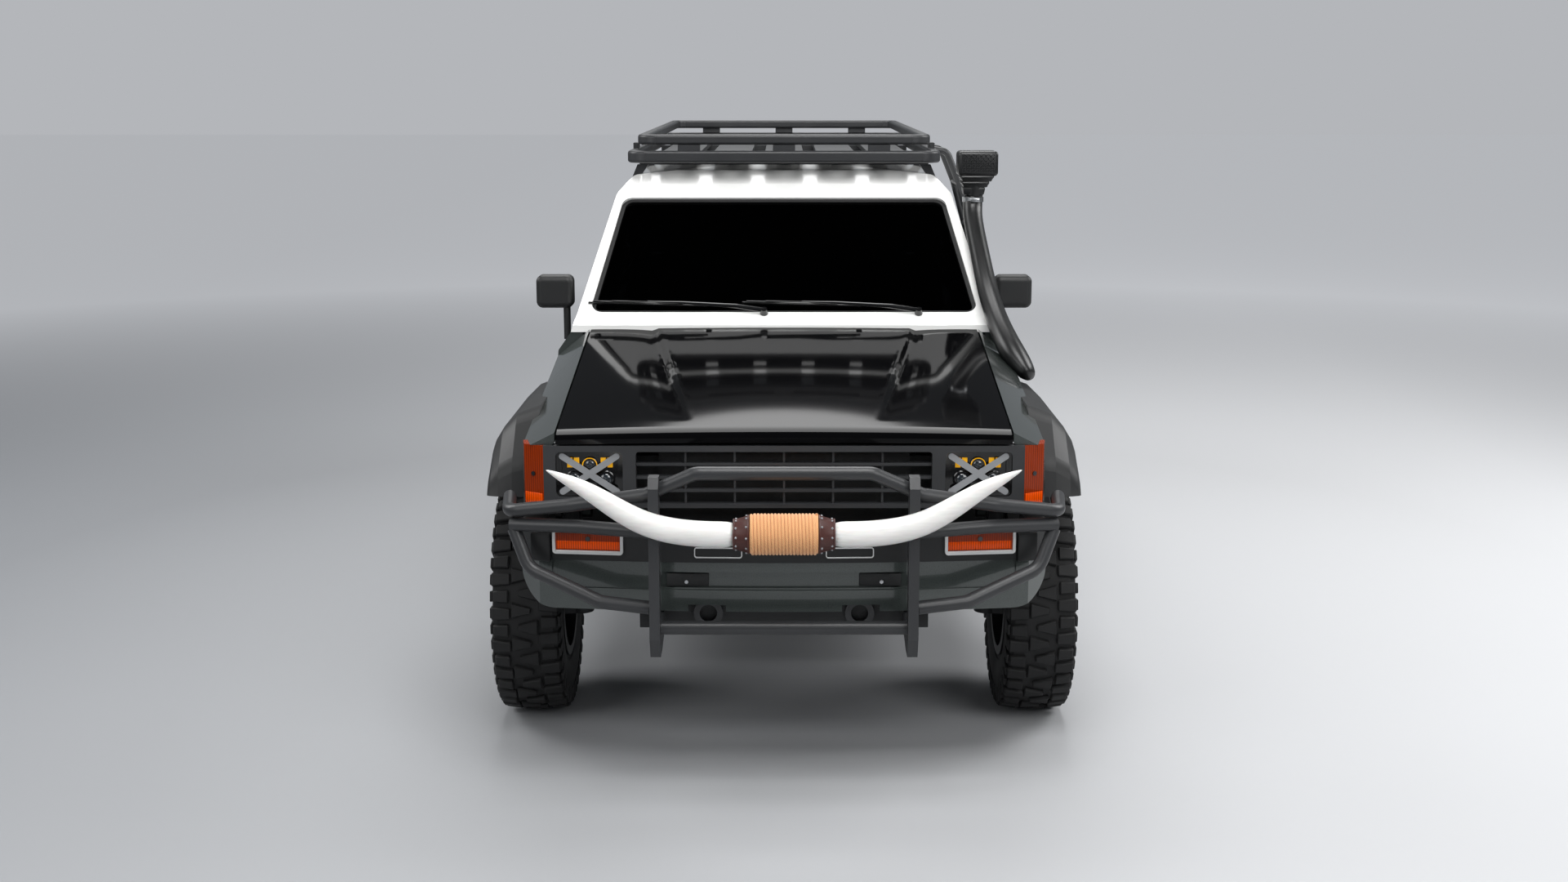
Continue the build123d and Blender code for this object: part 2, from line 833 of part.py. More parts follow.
# Grille panel: one moulding with the grille's bars and the two headlamp openings.
panel_front_y = front_axle_y - 690
panel_depth = 46
panel_half = 716
panel_bottom_z, panel_top_z = 845, 1034
grille_half, grille_bottom_z, grille_top_z = 441, 856, 1016
grille_rows, grille_columns = 4, 6
grille_bar = 9
grille_bar_depth = 24
headlamp_x, headlamp_z = 580, 947
headlamp_size = (184, 122)
bezel_gap, bezel_corner = 8, 16
with BuildPart() as grille:
    with Locations((0, panel_front_y, panel_bottom_z)):
        Box(
            2 * panel_half,
            panel_depth,
            panel_top_z - panel_bottom_z,
            align=(Align.CENTER, Align.MIN, Align.MIN),
        )
    with BuildSketch(xz(panel_front_y + panel_depth + 1)):
        with Locations((0, (grille_bottom_z + grille_top_z) / 2)):
            RectangleRounded(2 * grille_half, grille_top_z - grille_bottom_z, 10)
        with Locations((-headlamp_x, headlamp_z), (headlamp_x, headlamp_z)):
            RectangleRounded(*(size + 2 * bezel_gap for size in headlamp_size), bezel_corner)
    extrude(amount=panel_depth + 2, mode=Mode.SUBTRACT)
    row_pitch = (grille_top_z - grille_bottom_z) / grille_rows
    column_pitch = 2 * grille_half / grille_columns
    bar_y = panel_front_y + 12
    for row in range(1, grille_rows):
        with Locations((0, bar_y, grille_bottom_z + row * row_pitch)):
            Box(
                2 * grille_half + 2 * weld_overlap,
                grille_bar_depth,
                grille_bar,
                align=(Align.CENTER, Align.MIN, Align.CENTER),
            )
    for column in range(1, grille_columns):
        with Locations((column * column_pitch - grille_half, bar_y + 6, grille_bottom_z - weld_overlap)):
            Box(
                grille_bar * 0.7,
                grille_bar_depth - 6,
                grille_top_z - grille_bottom_z + 2 * weld_overlap,
                align=(Align.CENTER, Align.MIN, Align.MIN),
            )
pieces["grille"] = grille

# Headlamps: a black housing with a lens dish, behind a pair of crossed straps.
headlamp_depth = 70
headlamp_front_y = panel_front_y + 14
headlamp_lenses = [(0, 25, 19), (-48, -12, 24), (48, -12, 24)]  # (outward, up, radius)
with BuildPart() as headlamps:
    for lamp_side in (-1, 1):
        with BuildSketch(xz(headlamp_front_y + headlamp_depth)):
            with Locations((lamp_side * headlamp_x, headlamp_z)):
                bezel_grow = 2 * bezel_gap - 2 * seat_gap
                RectangleRounded(*(size + bezel_grow for size in headlamp_size), bezel_corner)
        extrude(amount=headlamp_depth)
        with BuildSketch(xz(headlamp_front_y + 14)):
            with Locations((lamp_side * headlamp_x, headlamp_z)):
                RectangleRounded(headlamp_size[0] - 16, headlamp_size[1] - 16, 12)
        extrude(amount=20, mode=Mode.SUBTRACT)
        for lens_x, lens_z, lens_radius in headlamp_lenses:
            lens_centre = (lamp_side * (headlamp_x + lens_x), headlamp_front_y + 16, headlamp_z + lens_z)
            with Locations(Plane(origin=lens_centre, z_dir=(0, -1, 0))):
                Cylinder(lens_radius, 10, align=(Align.CENTER, Align.CENTER, Align.MIN))
pieces["headlamps"] = headlamps

strap_width, strap_wall = 19, 4
strap_angle = degrees(atan2(headlamp_size[1], headlamp_size[0]))
strap_length = hypot(*headlamp_size) - 8
with BuildPart() as headlamp_straps:
    for lamp_side in (-1, 1):
        for turn in (-strap_angle, strap_angle):
            with BuildSketch(xz(headlamp_front_y - seat_gap)):
                with Locations(Location((lamp_side * headlamp_x, headlamp_z, 0), (0, 0, turn))):
                    SlotOverall(strap_length, strap_width)
            extrude(amount=strap_wall)
pieces["headlamp_straps"] = headlamp_straps

# Amber lamps: wrapped corner lamps, and the turn lamps in the bumper.
corner_lamp_inner_x = panel_half + seat_gap
corner_lamp_bottom_z = 852
bumper_half = 789
bumper_face_y = front_axle_y - 792
bumper_bow = 5136  # radius of the face, seen from above


def bow_y(x, depth):
    """Bumper's curve at x, `depth` behind its face."""
    return bumper_face_y + bumper_bow - sqrt((bumper_bow - depth) ** 2 - x**2)


turn_lamp = (198, 26, 66)
turn_lamp_x, turn_lamp_z = 580, 763
turn_lamp_proud = 3  # past the bumper's face
turn_lamp_y = bow_y(turn_lamp_x, 0) - turn_lamp_proud
turn_lamp_angle = degrees(atan2(turn_lamp_x, bumper_bow))
with BuildPart() as amber_lamps:
    for lamp_side in (-1, 1):
        with BuildSketch(Plane.XY.offset(corner_lamp_bottom_z)):
            with BuildLine():
                Polyline(
                    (lamp_side * corner_lamp_inner_x, panel_front_y),
                    (lamp_side * (bumper_half - 11), panel_front_y + 40),
                    (lamp_side * (bumper_half - 1), lamp_rear_y - seat_gap),
                    (lamp_side * corner_lamp_inner_x, lamp_rear_y - seat_gap),
                    close=True,
                )
            make_face()
        extrude(amount=lamp_top_z - seat_gap - corner_lamp_bottom_z)
        lamp_seat = (lamp_side * turn_lamp_x, turn_lamp_y, turn_lamp_z)
        with Locations(Location(lamp_seat, (0, 0, lamp_side * turn_lamp_angle))):
            Box(*turn_lamp, align=(Align.CENTER, Align.MIN, Align.CENTER))
pieces["amber_lamps"] = amber_lamps

# Front bumper: a black upper moulding over a painted lower valance, both wrapped to the sides.
bumper_wall = 62
bumper_end_y = front_axle_y - 505
bumper_corner = 60  # width of the slanted corner
bumper_top_z, bumper_split_z, valance_bottom_z = 802, 702, 553


def bumper_plan():
    """Bumper seen from above: a shallow arc with its corners wrapped back."""
    outer_x, inner_x = bumper_half - bumper_corner, bumper_half - bumper_wall - 50
    outer_y, inner_y = bow_y(outer_x, 0), bow_y(inner_x, bumper_wall)
    with BuildLine() as outline:
        ThreePointArc((-outer_x, outer_y), (0, bumper_face_y), (outer_x, outer_y))
        Polyline(
            (outer_x, outer_y),
            (bumper_half, outer_y + 70),
            (bumper_half, bumper_end_y),
            (bumper_half - bumper_wall, bumper_end_y),
            (bumper_half - bumper_wall, outer_y + 90),
            (inner_x, inner_y),
        )
        ThreePointArc((inner_x, inner_y), (0, bumper_face_y + bumper_wall), (-inner_x, inner_y))
        Polyline(
            (-inner_x, inner_y),
            (bumper_wall - bumper_half, outer_y + 90),
            (bumper_wall - bumper_half, bumper_end_y),
            (-bumper_half, bumper_end_y),
            (-bumper_half, outer_y + 70),
            (-outer_x, outer_y),
        )
    make_face(outline.edges())


with BuildPart() as front_bumper:
    with BuildSketch(Plane.XY.offset(bumper_split_z)):
        bumper_plan()
    extrude(amount=bumper_top_z - bumper_split_z)
    for lamp_side in (-1, 1):
        lamp_seat = (lamp_side * turn_lamp_x, turn_lamp_y, turn_lamp_z)
        with Locations(Location(lamp_seat, (0, 0, lamp_side * turn_lamp_angle))):
            Box(
                turn_lamp[0] + 2 * seat_gap,
                2 * turn_lamp[1],
                turn_lamp[2] + 2 * seat_gap,
                mode=Mode.SUBTRACT,
            )
pieces["front_bumper"] = front_bumper

valance_corner = 110
tow_notch = (112, 40)
tow_x = 228
valance_recesses = [  # (half width, bottom z, top z, depth): the panel over the lip, the plate's seat
    (690, 618, bumper_split_z, 6),
    (373, 624, 671, 18),
]


def recess_plan(half, depth):
    """Strip of the bumper's face, seen from above, to be cut back to `depth`."""
    front_y = bumper_face_y - 10
    with BuildLine() as outline:
        ThreePointArc((-half, bow_y(half, depth)), (0, bumper_face_y + depth), (half, bow_y(half, depth)))
        Polyline(
            (half, bow_y(half, depth)),
            (half, front_y),
            (-half, front_y),
            (-half, bow_y(half, depth)),
        )
    make_face(outline.edges())


with BuildPart() as front_valance:
    with BuildSketch(Plane.XY.offset(valance_bottom_z)):
        bumper_plan()
    extrude(amount=bumper_split_z - seat_gap - valance_bottom_z)
    with BuildSketch(xz(bumper_end_y + 10)):
        with Locations((0, bumper_split_z)):
            view = Rectangle(2 * bumper_half + 2, 2 * (bumper_split_z - valance_bottom_z))
        fillet(view.vertices().group_by(Axis.Y)[0], radius=valance_corner)
        for notch_x in (-tow_x, tow_x):
            with Locations((notch_x, valance_bottom_z)):
                Rectangle(*tow_notch, mode=Mode.SUBTRACT)
    extrude(amount=bumper_end_y + 20 - bumper_face_y, mode=Mode.INTERSECT)
    for half, bottom_z, top_z, depth in valance_recesses:
        with BuildSketch(Plane.XY.offset(bottom_z)):
            recess_plan(half, depth)
        extrude(amount=top_z - bottom_z, mode=Mode.SUBTRACT)
pieces["front_valance"] = front_valance

bracket_bottom_z, bracket_top_z = valance_bottom_z + 6, bumper_split_z - 20
with BuildPart() as bumper_brackets:
    for bracket_side in (-1, 1):
        with Locations((bracket_side * rail_x, front_horn_y - seat_gap, bracket_bottom_z)):
            Box(
                rail_width - 10,
                60,
                bracket_top_z - bracket_bottom_z,
                align=(Align.CENTER, Align.MAX, Align.MIN),
            )
    add(front_valance.part.moved(Location((0, seat_gap, 0))), mode=Mode.SUBTRACT)
    add(front_valance.part, mode=Mode.SUBTRACT)
pieces["bumper_brackets"] = bumper_brackets

# Bull bar: two upright plates, a top hoop, braced side tubes and a low cross tube.
upright_low_z, upright_top_z = 454, 990
upright_depth = 96
horn_stations = [  # (x, z, radius) along the left horn
    (binding_half + collar_length, horn_root_z, 38),
    (250, horn_root_z, 38),
    (376, 855, 36),
    (480, 908, 31),
    (577, 972, 23),
    (640, 1003, 11),
    (674, 1018, 2),
]


def horn_loft(grow):
    """Left horn, as circles square to its line."""
    rings = []
    for index, (x, z, radius) in enumerate(horn_stations):
        ahead = horn_stations[min(index + 1, len(horn_stations) - 1)]
        behind = horn_stations[max(index - 1, 0)]
        along = (ahead[0] - behind[0], 0, ahead[1] - behind[1])
        with BuildSketch(Plane(origin=(x, horn_y, z), x_dir=(0, 1, 0), z_dir=along)) as ring:
            Circle(radius + grow)
        rings.append(ring.sketch)
    loft(rings, ruled=True)


with BuildPart() as horns:
    horn_loft(0)
    mirror(about=Plane.YZ)
pieces["horns"] = horns

with BuildPart() as horn_room:
    horn_loft(seat_gap)
    mirror(about=Plane.YZ)

with BuildPart() as horn_collars:
    for collar_side in (-1, 1):
        with BuildSketch(Plane.XZ.offset(-horn_y)):
            with BuildLine():
                inner_x = collar_side * binding_half
                outer_x = collar_side * (binding_half + collar_length)
                Polyline(
                    (inner_x + collar_side * seat_gap, horn_root_z),
                    (inner_x + collar_side * seat_gap, horn_root_z + binding_radius - 4),
                    (outer_x - collar_side * seat_gap, horn_root_z + horn_stations[0][2] + 3),
                    (outer_x - collar_side * seat_gap, horn_root_z),
                    close=True,
                )
            make_face()
        revolve(axis=Axis((0, horn_y, horn_root_z), (1, 0, 0)))
pieces["horn_collars"] = horn_collars

with BuildPart() as horn_wrap:
    with Locations(Plane(origin=(0, horn_y, horn_root_z), z_dir=(1, 0, 0))):
        Cylinder(binding_radius, 2 * binding_half)
pieces["horn_wrap"] = horn_wrap

hoop_end = (808, front_axle_y - 776, 857)
hoop_line = [  # left half of the top hoop, from its end to the middle
    (830, front_axle_y - 606, 862),
    hoop_end,
    (618, front_axle_y - 846, 891),
    (400, front_axle_y - 897, 932),
    (254, front_axle_y - 916, 999),
]
hoop_bend = 50
hoop_path = [*hoop_line, *[(-x, y, z) for x, y, z in reversed(hoop_line)]]
brace_drop = 2 * bar_tube + seat_gap
upper_brace_line = [
    (hoop_end[0] - 6, hoop_end[1], hoop_end[2] - brace_drop),
    (594, front_axle_y - 852, 828),
    (upright_x + upright_wall / 2 + seat_gap, front_axle_y - 903, 824),
]
lower_brace_line = [
    (hoop_end[0] - 12, hoop_end[1] + 4, hoop_end[2] - brace_drop - 14),
    (750, front_axle_y - 804, 690),
    (533, front_axle_y - 880, 609),
    (upright_x + upright_wall / 2 + seat_gap, front_axle_y - 903, 598),
]
cross_tube_z = 538
with BuildPart() as hoop_room:
    tube(hoop_path, hoop_bend, bar_tube + seat_gap)
with BuildPart() as bull_bar:
    for bar_side in (-1, 1):
        with BuildSketch(yz(bar_side * upright_x - upright_wall / 2)):
            with BuildLine():
                back_y = upright_front_y + upright_depth
                Polyline(
                    (upright_front_y + 30, upright_low_z),
                    (upright_front_y, upright_low_z + 60),
                    (upright_front_y, upright_top_z - 30),
                    (upright_front_y + 20, upright_top_z),
                    (back_y - 34, upright_top_z),
                    (back_y - 34, valance_bottom_z - 6),
                    (front_horn_y - seat_gap, valance_bottom_z - 6),
                    (front_horn_y - seat_gap, rail_stations[0][1] + 6),
                    (back_y, upright_low_z),
                    close=True,
                )
            make_face()
        extrude(amount=upright_wall)
    add(horn_room.part, mode=Mode.SUBTRACT)
    add(hoop_room.part, mode=Mode.SUBTRACT)
    tube(hoop_path, hoop_bend, bar_tube)
    for line, bend in ((upper_brace_line, 120), (lower_brace_line, 70)):
        for bar_side in (-1, 1):
            tube([(bar_side * x, y, z) for x, y, z in line], bend, bar_tube)
    with Locations(Plane(origin=(0, upright_front_y + 46, cross_tube_z), z_dir=(1, 0, 0))):
        Cylinder(bar_tube, 2 * (upright_x - upright_wall / 2 - seat_gap))
pieces["bull_bar"] = bull_bar

# Tow eyes: rings under the valance on shanks from the front cross member.
eye_radius, eye_bore, eye_wall = 44, 26, 20
eye_y, eye_z = front_horn_y + 20 - seat_gap, 522
with BuildPart() as tow_eyes:
    for eye_side in (-1, 1):
        with BuildSketch(xz(eye_y)):
            with Locations((eye_side * tow_x, eye_z)):
                Circle(eye_radius)
                Circle(eye_bore, mode=Mode.SUBTRACT)
        extrude(amount=eye_wall)
pieces["tow_eyes"] = tow_eyes

# Fender flares: lofts from a wide root on the body over a rounded back to a narrow outer lip.
flare_low_half = arch_half_low - (arch_half_low - arch_half_top) * (flare_low_z - arch_knee_z) / (
    arch_top_z - arch_knee_z
)
flare_corner = 90
flare_root_x = 770
flare_opening = [(flare_low_half, flare_low_z), (arch_half_top, arch_top_z)]
flare_stations = [  # (x, outer outline, inner outline), each as (distance from the axle, z)
    (flare_root_x, [(474, flare_low_z), (452, 945), (322, 1088)], flare_opening),
    (845, [(473, flare_low_z), (451, 930), (318, 1060)], flare_opening),
    (890, [(469, flare_low_z), (447, 908), (310, 1016)], [(412, flare_low_z), (297, 952)]),
    (916, [(461, flare_low_z), (440, 880), (300, 974)], [(409, flare_low_z), (294, 938)]),
    (flare_tip_x, [(452, flare_low_z), (431, 862), (294, 948)], [(407, flare_low_z), (292, 930)]),
]


def flare_outline(axle_y, outer, inner):
    """One flare, seen from the side."""
    over = [(axle_y + y, z) for y, z in outer] + [(axle_y - y, z) for y, z in reversed(outer)]
    under = [(axle_y - y, z) for y, z in inner] + [(axle_y + y, z) for y, z in reversed(inner)]
    with BuildLine() as outline:
        FilletPolyline(*over, radius=flare_corner)
        Line(over[-1], under[0])
        FilletPolyline(*under, radius=flare_corner)
        Line(under[-1], over[0])
    make_face(outline.edges())


with BuildPart() as fender_envelope:
    for station in fender_stations:
        with BuildSketch(xz(station[0])):
            with BuildLine():
                fender_envelope_lines(station, seat_gap)
            make_face()
    loft(ruled=True)
with BuildPart() as side_envelope:
    with BuildSketch(xz(body_rear_y)):
        with BuildLine():
            side_wall_lines(post_wall, seat_gap)
        make_face()
    extrude(amount=body_rear_y - door_rear_y)
with BuildPart() as fender_flares:
    for axle_y in (front_axle_y, rear_axle_y):
        for x, outer, inner in flare_stations:
            with BuildSketch(yz(x)):
                flare_outline(axle_y, outer, inner)
        loft(ruled=True)
    add(fender_envelope.part, mode=Mode.SUBTRACT)
    add(side_envelope.part, mode=Mode.SUBTRACT)
    mirror(about=Plane.YZ)
pieces["fender_flares"] = fender_flares

# Rear bumper.
with BuildPart() as rear_bumper:
    with BuildSketch(Plane.XY.offset(rear_bumper_bottom_z)):
        with BuildLine():
            Polyline(
                (-rear_bumper_half, tail_y - rear_bumper_depth),
                (-rear_bumper_half, tail_y - 60),
                (60 - rear_bumper_half, tail_y),
                (rear_bumper_half - 60, tail_y),
                (rear_bumper_half, tail_y - 60),
                (rear_bumper_half, tail_y - rear_bumper_depth),
                close=True,
            )
        make_face()
    extrude(amount=rear_bumper_top_z - rear_bumper_bottom_z)
    with Locations((0, tail_y - 6, rear_bumper_top_z)):
        Box(520, 70, 12, align=(Align.CENTER, Align.MAX, Align.MAX), mode=Mode.SUBTRACT)
    chamfer(rear_bumper.faces().sort_by(Axis.Z)[0].edges(), length=14)
pieces["rear_bumper"] = rear_bumper

# Roof rack: two rings of bars with moulded corners, posts, feet, and a slatted floor.
ring_tables = [  # (half width, front y, rear y, height of the middle, depth)
    (rack_lower_half, rack_front_y, rack_rear_y, rack_lower_z, rack_lower_depth),
    (rack_upper_half, rack_front_y + 20, rack_rear_y - 20, rack_upper_z, rack_upper_depth),
]
post_bottom_z = rack_lower_z + rack_lower_depth / 2 + seat_gap
post_top_z = rack_upper_z - rack_upper_depth / 2 - seat_gap
with BuildPart() as rack_frame:
    for half, front_y, rear_y, middle_z, depth in ring_tables:
        low_z = middle_z - depth / 2
        length = rear_y - front_y
        with BuildSketch(Plane.XY.offset(low_z)):
            with Locations((0, (front_y + rear_y) / 2)):
                RectangleRounded(2 * half, length, rack_corner)
                RectangleRounded(
                    2 * (half - rack_rail_width),
                    length - 2 * rack_rail_width,
                    rack_corner - rack_rail_width,
                    mode=Mode.SUBTRACT,
                )
        extrude(amount=depth)
    fillet(rack_frame.faces().filter_by(Axis.Z).edges(), radius=11)
    for half, front_y, rear_y, middle_z, depth in ring_tables:
        for cut_x in (-half + rack_corner, half - rack_corner):
            with Locations((cut_x, 0, middle_z)):
                Box(seat_gap, 4 * half_length, depth + 2, mode=Mode.SUBTRACT)
        for cut_y in (front_y + rack_corner, rear_y - rack_corner):
            with Locations((0, cut_y, middle_z)):
                Box(4 * half, seat_gap, depth + 2, mode=Mode.SUBTRACT)
    post_height = post_top_z - post_bottom_z
    post_places = [(x, y) for x in (-360, 0, 360) for y in (rack_front_y + 30, rack_rear_y - 30)]
    side_places = [(side * 577, rack_front_y + 280 + step * 435) for side in (-1, 1) for step in range(5)]
    for x, y in post_places:
        with Locations((x, y, post_bottom_z)):
            Box(84, 20, post_height, align=(Align.CENTER, Align.CENTER, Align.MIN))
    for x, y in side_places:
        with Locations((x, y, post_bottom_z)):
            Box(20, 84, post_height, align=(Align.CENTER, Align.CENTER, Align.MIN))
pieces["rack_frame"] = rack_frame

slat_top_z = rack_lower_z + 8
slat_wall = 18
bearer_z = slat_top_z - slat_wall - seat_gap
bearer = (36, 24)
rack_inner_half = rack_lower_half - rack_rail_width - seat_gap
foot_places = [rack_front_y + 160 + step * 660 for step in range(4)]
foot_x = roof_edge_x - 22
with BuildPart() as rack_floor:
    slat_length = rack_rear_y - rack_front_y - 2 * rack_rail_width - 2 * seat_gap
    for slat in range(slat_count):
        slat_x = (slat - (slat_count - 1) / 2) * (slat_width + slat_gap)
        with Locations((slat_x, (rack_front_y + rack_rear_y) / 2, slat_top_z)):
            Box(slat_width, slat_length, slat_wall, align=(Align.CENTER, Align.CENTER, Align.MAX))
    for y in foot_places:
        with Locations((0, y, bearer_z)):
            Box(2 * rack_inner_half, bearer[0], bearer[1], align=(Align.CENTER, Align.CENTER, Align.MAX))
        for foot_side in (-1, 1):
            with BuildSketch(xz(y + bearer[0] / 2)):
                with BuildLine():
                    foot_top = bearer_z - bearer[1] - seat_gap
                    Polyline(
                        (foot_side * (foot_x - 30), foot_top),
                        (foot_side * (foot_x + 12), foot_top),
                        (foot_side * (foot_x + 40), roof_edge_z - 28),
                        (foot_side * (foot_x + 10), roof_edge_z - 20),
                        close=True,
                    )
                make_face()
            extrude(amount=bearer[0])
    add(greenhouse(-seat_gap, belt_z), mode=Mode.SUBTRACT)
pieces["rack_floor"] = rack_floor

# Side ladder: two stiles hooked over the rack's rail, with rungs, standing off the left side.
ladder_tube = 14
ladder_front_y, ladder_rear_y = top_seam_y + 180, top_seam_y + 480
ladder_standoff = 104
ladder_foot_z = 1050
rung_count, rung_pitch = 4, 180


def ladder_x(z):
    """Stile's place beside the cabin at height z."""
    return belt_x + ladder_standoff + (belt_z - z) * (belt_x - eave_x) / (eave_z - belt_z)


with BuildPart() as side_ladder:
    for y in (ladder_front_y, ladder_rear_y):
        tube(
            [
                (rack_lower_half + ladder_tube + seat_gap, y, rack_lower_z),
                (rack_lower_half + 90, y, rack_lower_z - 12),
                (ladder_x(1660), y, 1660),
                (ladder_x(belt_z), y, belt_z),
                (ladder_x(belt_z), y, ladder_foot_z),
            ],
            40,
            ladder_tube,
        )
    for rung in range(rung_count):
        rung_z = ladder_foot_z + 70 + rung * rung_pitch
        rung_x = ladder_x(max(rung_z, belt_z))
        rung_y = (ladder_front_y + ladder_rear_y) / 2
        with Locations(Plane(origin=(rung_x, rung_y, rung_z), z_dir=(0, 1, 0))):
            Cylinder(ladder_tube - 2, ladder_rear_y - ladder_front_y)
    for y in (ladder_front_y, ladder_rear_y):
        with Locations(Plane(origin=(ladder_x(belt_z), y, ladder_foot_z + 20), z_dir=(-1, 0, 0))):
            Cylinder(11, 120, align=(Align.CENTER, Align.CENTER, Align.MIN))
    add(side_envelope.part, mode=Mode.SUBTRACT)
pieces["side_ladder"] = side_ladder

# Snorkel: a moulded pipe from the left fender up the pillar, with a clamp and an air ram head.
snorkel_radius = 37
snorkel_line = [
    (846, front_axle_y + 226, 1100),
    (786, front_axle_y + 310, 1180),
    (754, front_axle_y + 420, 1258),
    (733, front_axle_y + 612, 1365),
    (701, front_axle_y + 870, 1596),
    (706, front_axle_y + 900, 1664),
]
head_size = (150, 118, 96)
head_neck = 84
head_x = 719
with BuildPart() as snorkel:
    tube(snorkel_line, 45, snorkel_radius)
    top_x, top_y, top_z = snorkel_line[-1]
    with BuildSketch(Plane.XY.offset(top_z - weld_overlap)):
        with Locations((top_x, top_y)):
            Circle(snorkel_radius + 5)
    extrude(amount=20)
    with BuildSketch(Plane.XY.offset(top_z + 10)):
        with Locations((top_x, top_y)):
            RectangleRounded(2 * snorkel_radius, 2 * snorkel_radius, 12)
    with BuildSketch(Plane.XY.offset(top_z + head_neck)):
        with Locations((head_x, top_y)):
            RectangleRounded(head_size[0] - 30, head_size[1] - 10, 12)
    loft(ruled=True)
    with BuildSketch(Plane.XY.offset(top_z + head_neck - weld_overlap)):
        with Locations((head_x, top_y)):
            RectangleRounded(head_size[0], head_size[1], 16)
    extrude(amount=head_size[2])
    add(fender_envelope.part, mode=Mode.SUBTRACT)
    add(greenhouse(-seat_gap, belt_z), mode=Mode.SUBTRACT)
pieces["snorkel"] = snorkel

# Wipers: two arms on the cowl with their blades laid along the lower edge of the glass.
wiper_pivots = (-72, 484)  # x of each pivot
wiper_reach, blade_length = 460, 430
wiper_lift, pivot_lift = 6, 5  # over the glass line
with BuildPart() as wipers:
    for pivot_x in wiper_pivots:
        with BuildSketch(windshield_plane().offset(wiper_lift)):
            with Locations(Location((pivot_x, -8, 0), (0, 0, 174.5))):
                Rectangle(wiper_reach, 14, align=(Align.MIN, Align.CENTER))
            with Locations(Location((pivot_x - wiper_reach + 40, 34, 0), (0, 0, 178))):
                Rectangle(blade_length, 10)
        extrude(amount=12)
        with BuildSketch(windshield_plane().offset(pivot_lift)):
            with Locations((pivot_x, -8)):
                Circle(14)
        extrude(amount=20)
pieces["wipers"] = wipers

# Axles, knuckles, wheels
kingpin_x = wheel_x - 140
axle_tube = 42
boss_radius, boss_half = 46, 52
ear_gap = 0.4
ear_wall = 20
knuckle_plate_x = kingpin_x + boss_radius + 8
arm_reach = 190
tie_rod_radius = 14


def hub(side, axle_y, inner_x):
    """Wheel hub that carries a rim, from inner_x out past the rim's middle."""
    outer_x = wheel_x + hub_reach
    with Locations(Plane(origin=(side * inner_x, axle_y, axle_z), z_dir=(side, 0, 0))):
        Cylinder(hub_radius, outer_x - inner_x, align=(Align.CENTER, Align.CENTER, Align.MIN))


def axle_beam(axle_y, half, diff_x):
    """Axle tube with its differential housing."""
    with Locations(Plane(origin=(0, axle_y, axle_z), z_dir=(1, 0, 0))):
        Cylinder(axle_tube, 2 * half)
    with Locations((diff_x, axle_y, axle_z)):
        Sphere(128)
    with Locations(Plane(origin=(diff_x, axle_y, axle_z), z_dir=(0, 1, 0))):
        Cylinder(100, 270)


with BuildPart() as front_axle:
    axle_beam(front_axle_y, kingpin_x, -190)
    for axle_side in (-1, 1):
        with Locations((axle_side * kingpin_x, front_axle_y, axle_z)):
            Cylinder(boss_radius, 2 * boss_half)
pieces["front_axle"] = front_axle

drum_radius, drum_inner_x = 150, wheel_x - rim_width / 2 - 60
with BuildPart() as rear_axle:
    axle_beam(rear_axle_y, drum_inner_x + weld_overlap, 0)
    for axle_side in (-1, 1):
        hub(axle_side, rear_axle_y, drum_inner_x)
        drum_origin = (axle_side * drum_inner_x, rear_axle_y, axle_z)
        with Locations(Plane(origin=drum_origin, z_dir=(axle_side, 0, 0))):
            Cylinder(drum_radius, 70, align=(Align.CENTER, Align.CENTER, Align.MIN))
pieces["rear_axle"] = rear_axle

tie_rod_z = axle_z - boss_half - ear_wall - ear_gap - tie_rod_radius - 14
for knuckle_side, name in ((1, "knuckle_left"), (-1, "knuckle_right")):
    with BuildPart() as knuckle:
        for ear_z in (axle_z + boss_half + ear_gap, axle_z - boss_half - ear_gap - ear_wall):
            with BuildSketch(Plane.XY.offset(ear_z)):
                with Locations((knuckle_side * kingpin_x, front_axle_y)):
                    Circle(boss_radius - 4)
                with BuildLine():
                    Polyline(
                        (knuckle_side * kingpin_x, front_axle_y - 36),
                        (knuckle_side * (knuckle_plate_x + 22), front_axle_y - 50),
                        (knuckle_side * (knuckle_plate_x + 22), front_axle_y + 50),
                        (knuckle_side * kingpin_x, front_axle_y + 36),
                        close=True,
                    )
                make_face()
            extrude(amount=ear_wall)
        with Locations((knuckle_side * knuckle_plate_x, front_axle_y, axle_z)):
            Box(
                22,
                100,
                2 * (boss_half + ear_gap + ear_wall),
                align=(
                    Align.MIN if knuckle_side > 0 else Align.MAX,
                    Align.CENTER,
                    Align.CENTER,
                ),
            )
        hub(knuckle_side, front_axle_y, knuckle_plate_x + 10)
        with BuildSketch(Plane.XY.offset(axle_z - boss_half - ear_gap - ear_wall)):
            with Locations((knuckle_side * (kingpin_x - 24), front_axle_y)):
                Rectangle(34, arm_reach, align=(Align.CENTER, Align.MIN))
            with Locations((knuckle_side * (kingpin_x - 24), front_axle_y + arm_reach)):
                Circle(22)
        extrude(amount=ear_wall)
    pieces[name] = knuckle

with BuildPart() as tie_rod:
    eye_x = kingpin_x - 24
    with Locations(Plane(origin=(0, front_axle_y + arm_reach, tie_rod_z), z_dir=(1, 0, 0))):
        Cylinder(tie_rod_radius, 2 * eye_x)
    for rod_side in (-1, 1):
        with Locations((rod_side * eye_x, front_axle_y + arm_reach, tie_rod_z)):
            Cylinder(
                20,
                axle_z - boss_half - ear_gap - ear_wall - seat_gap - tie_rod_z,
                align=(Align.CENTER, Align.CENTER, Align.MIN),
            )
            Sphere(20)
pieces["tie_rod"] = tie_rod


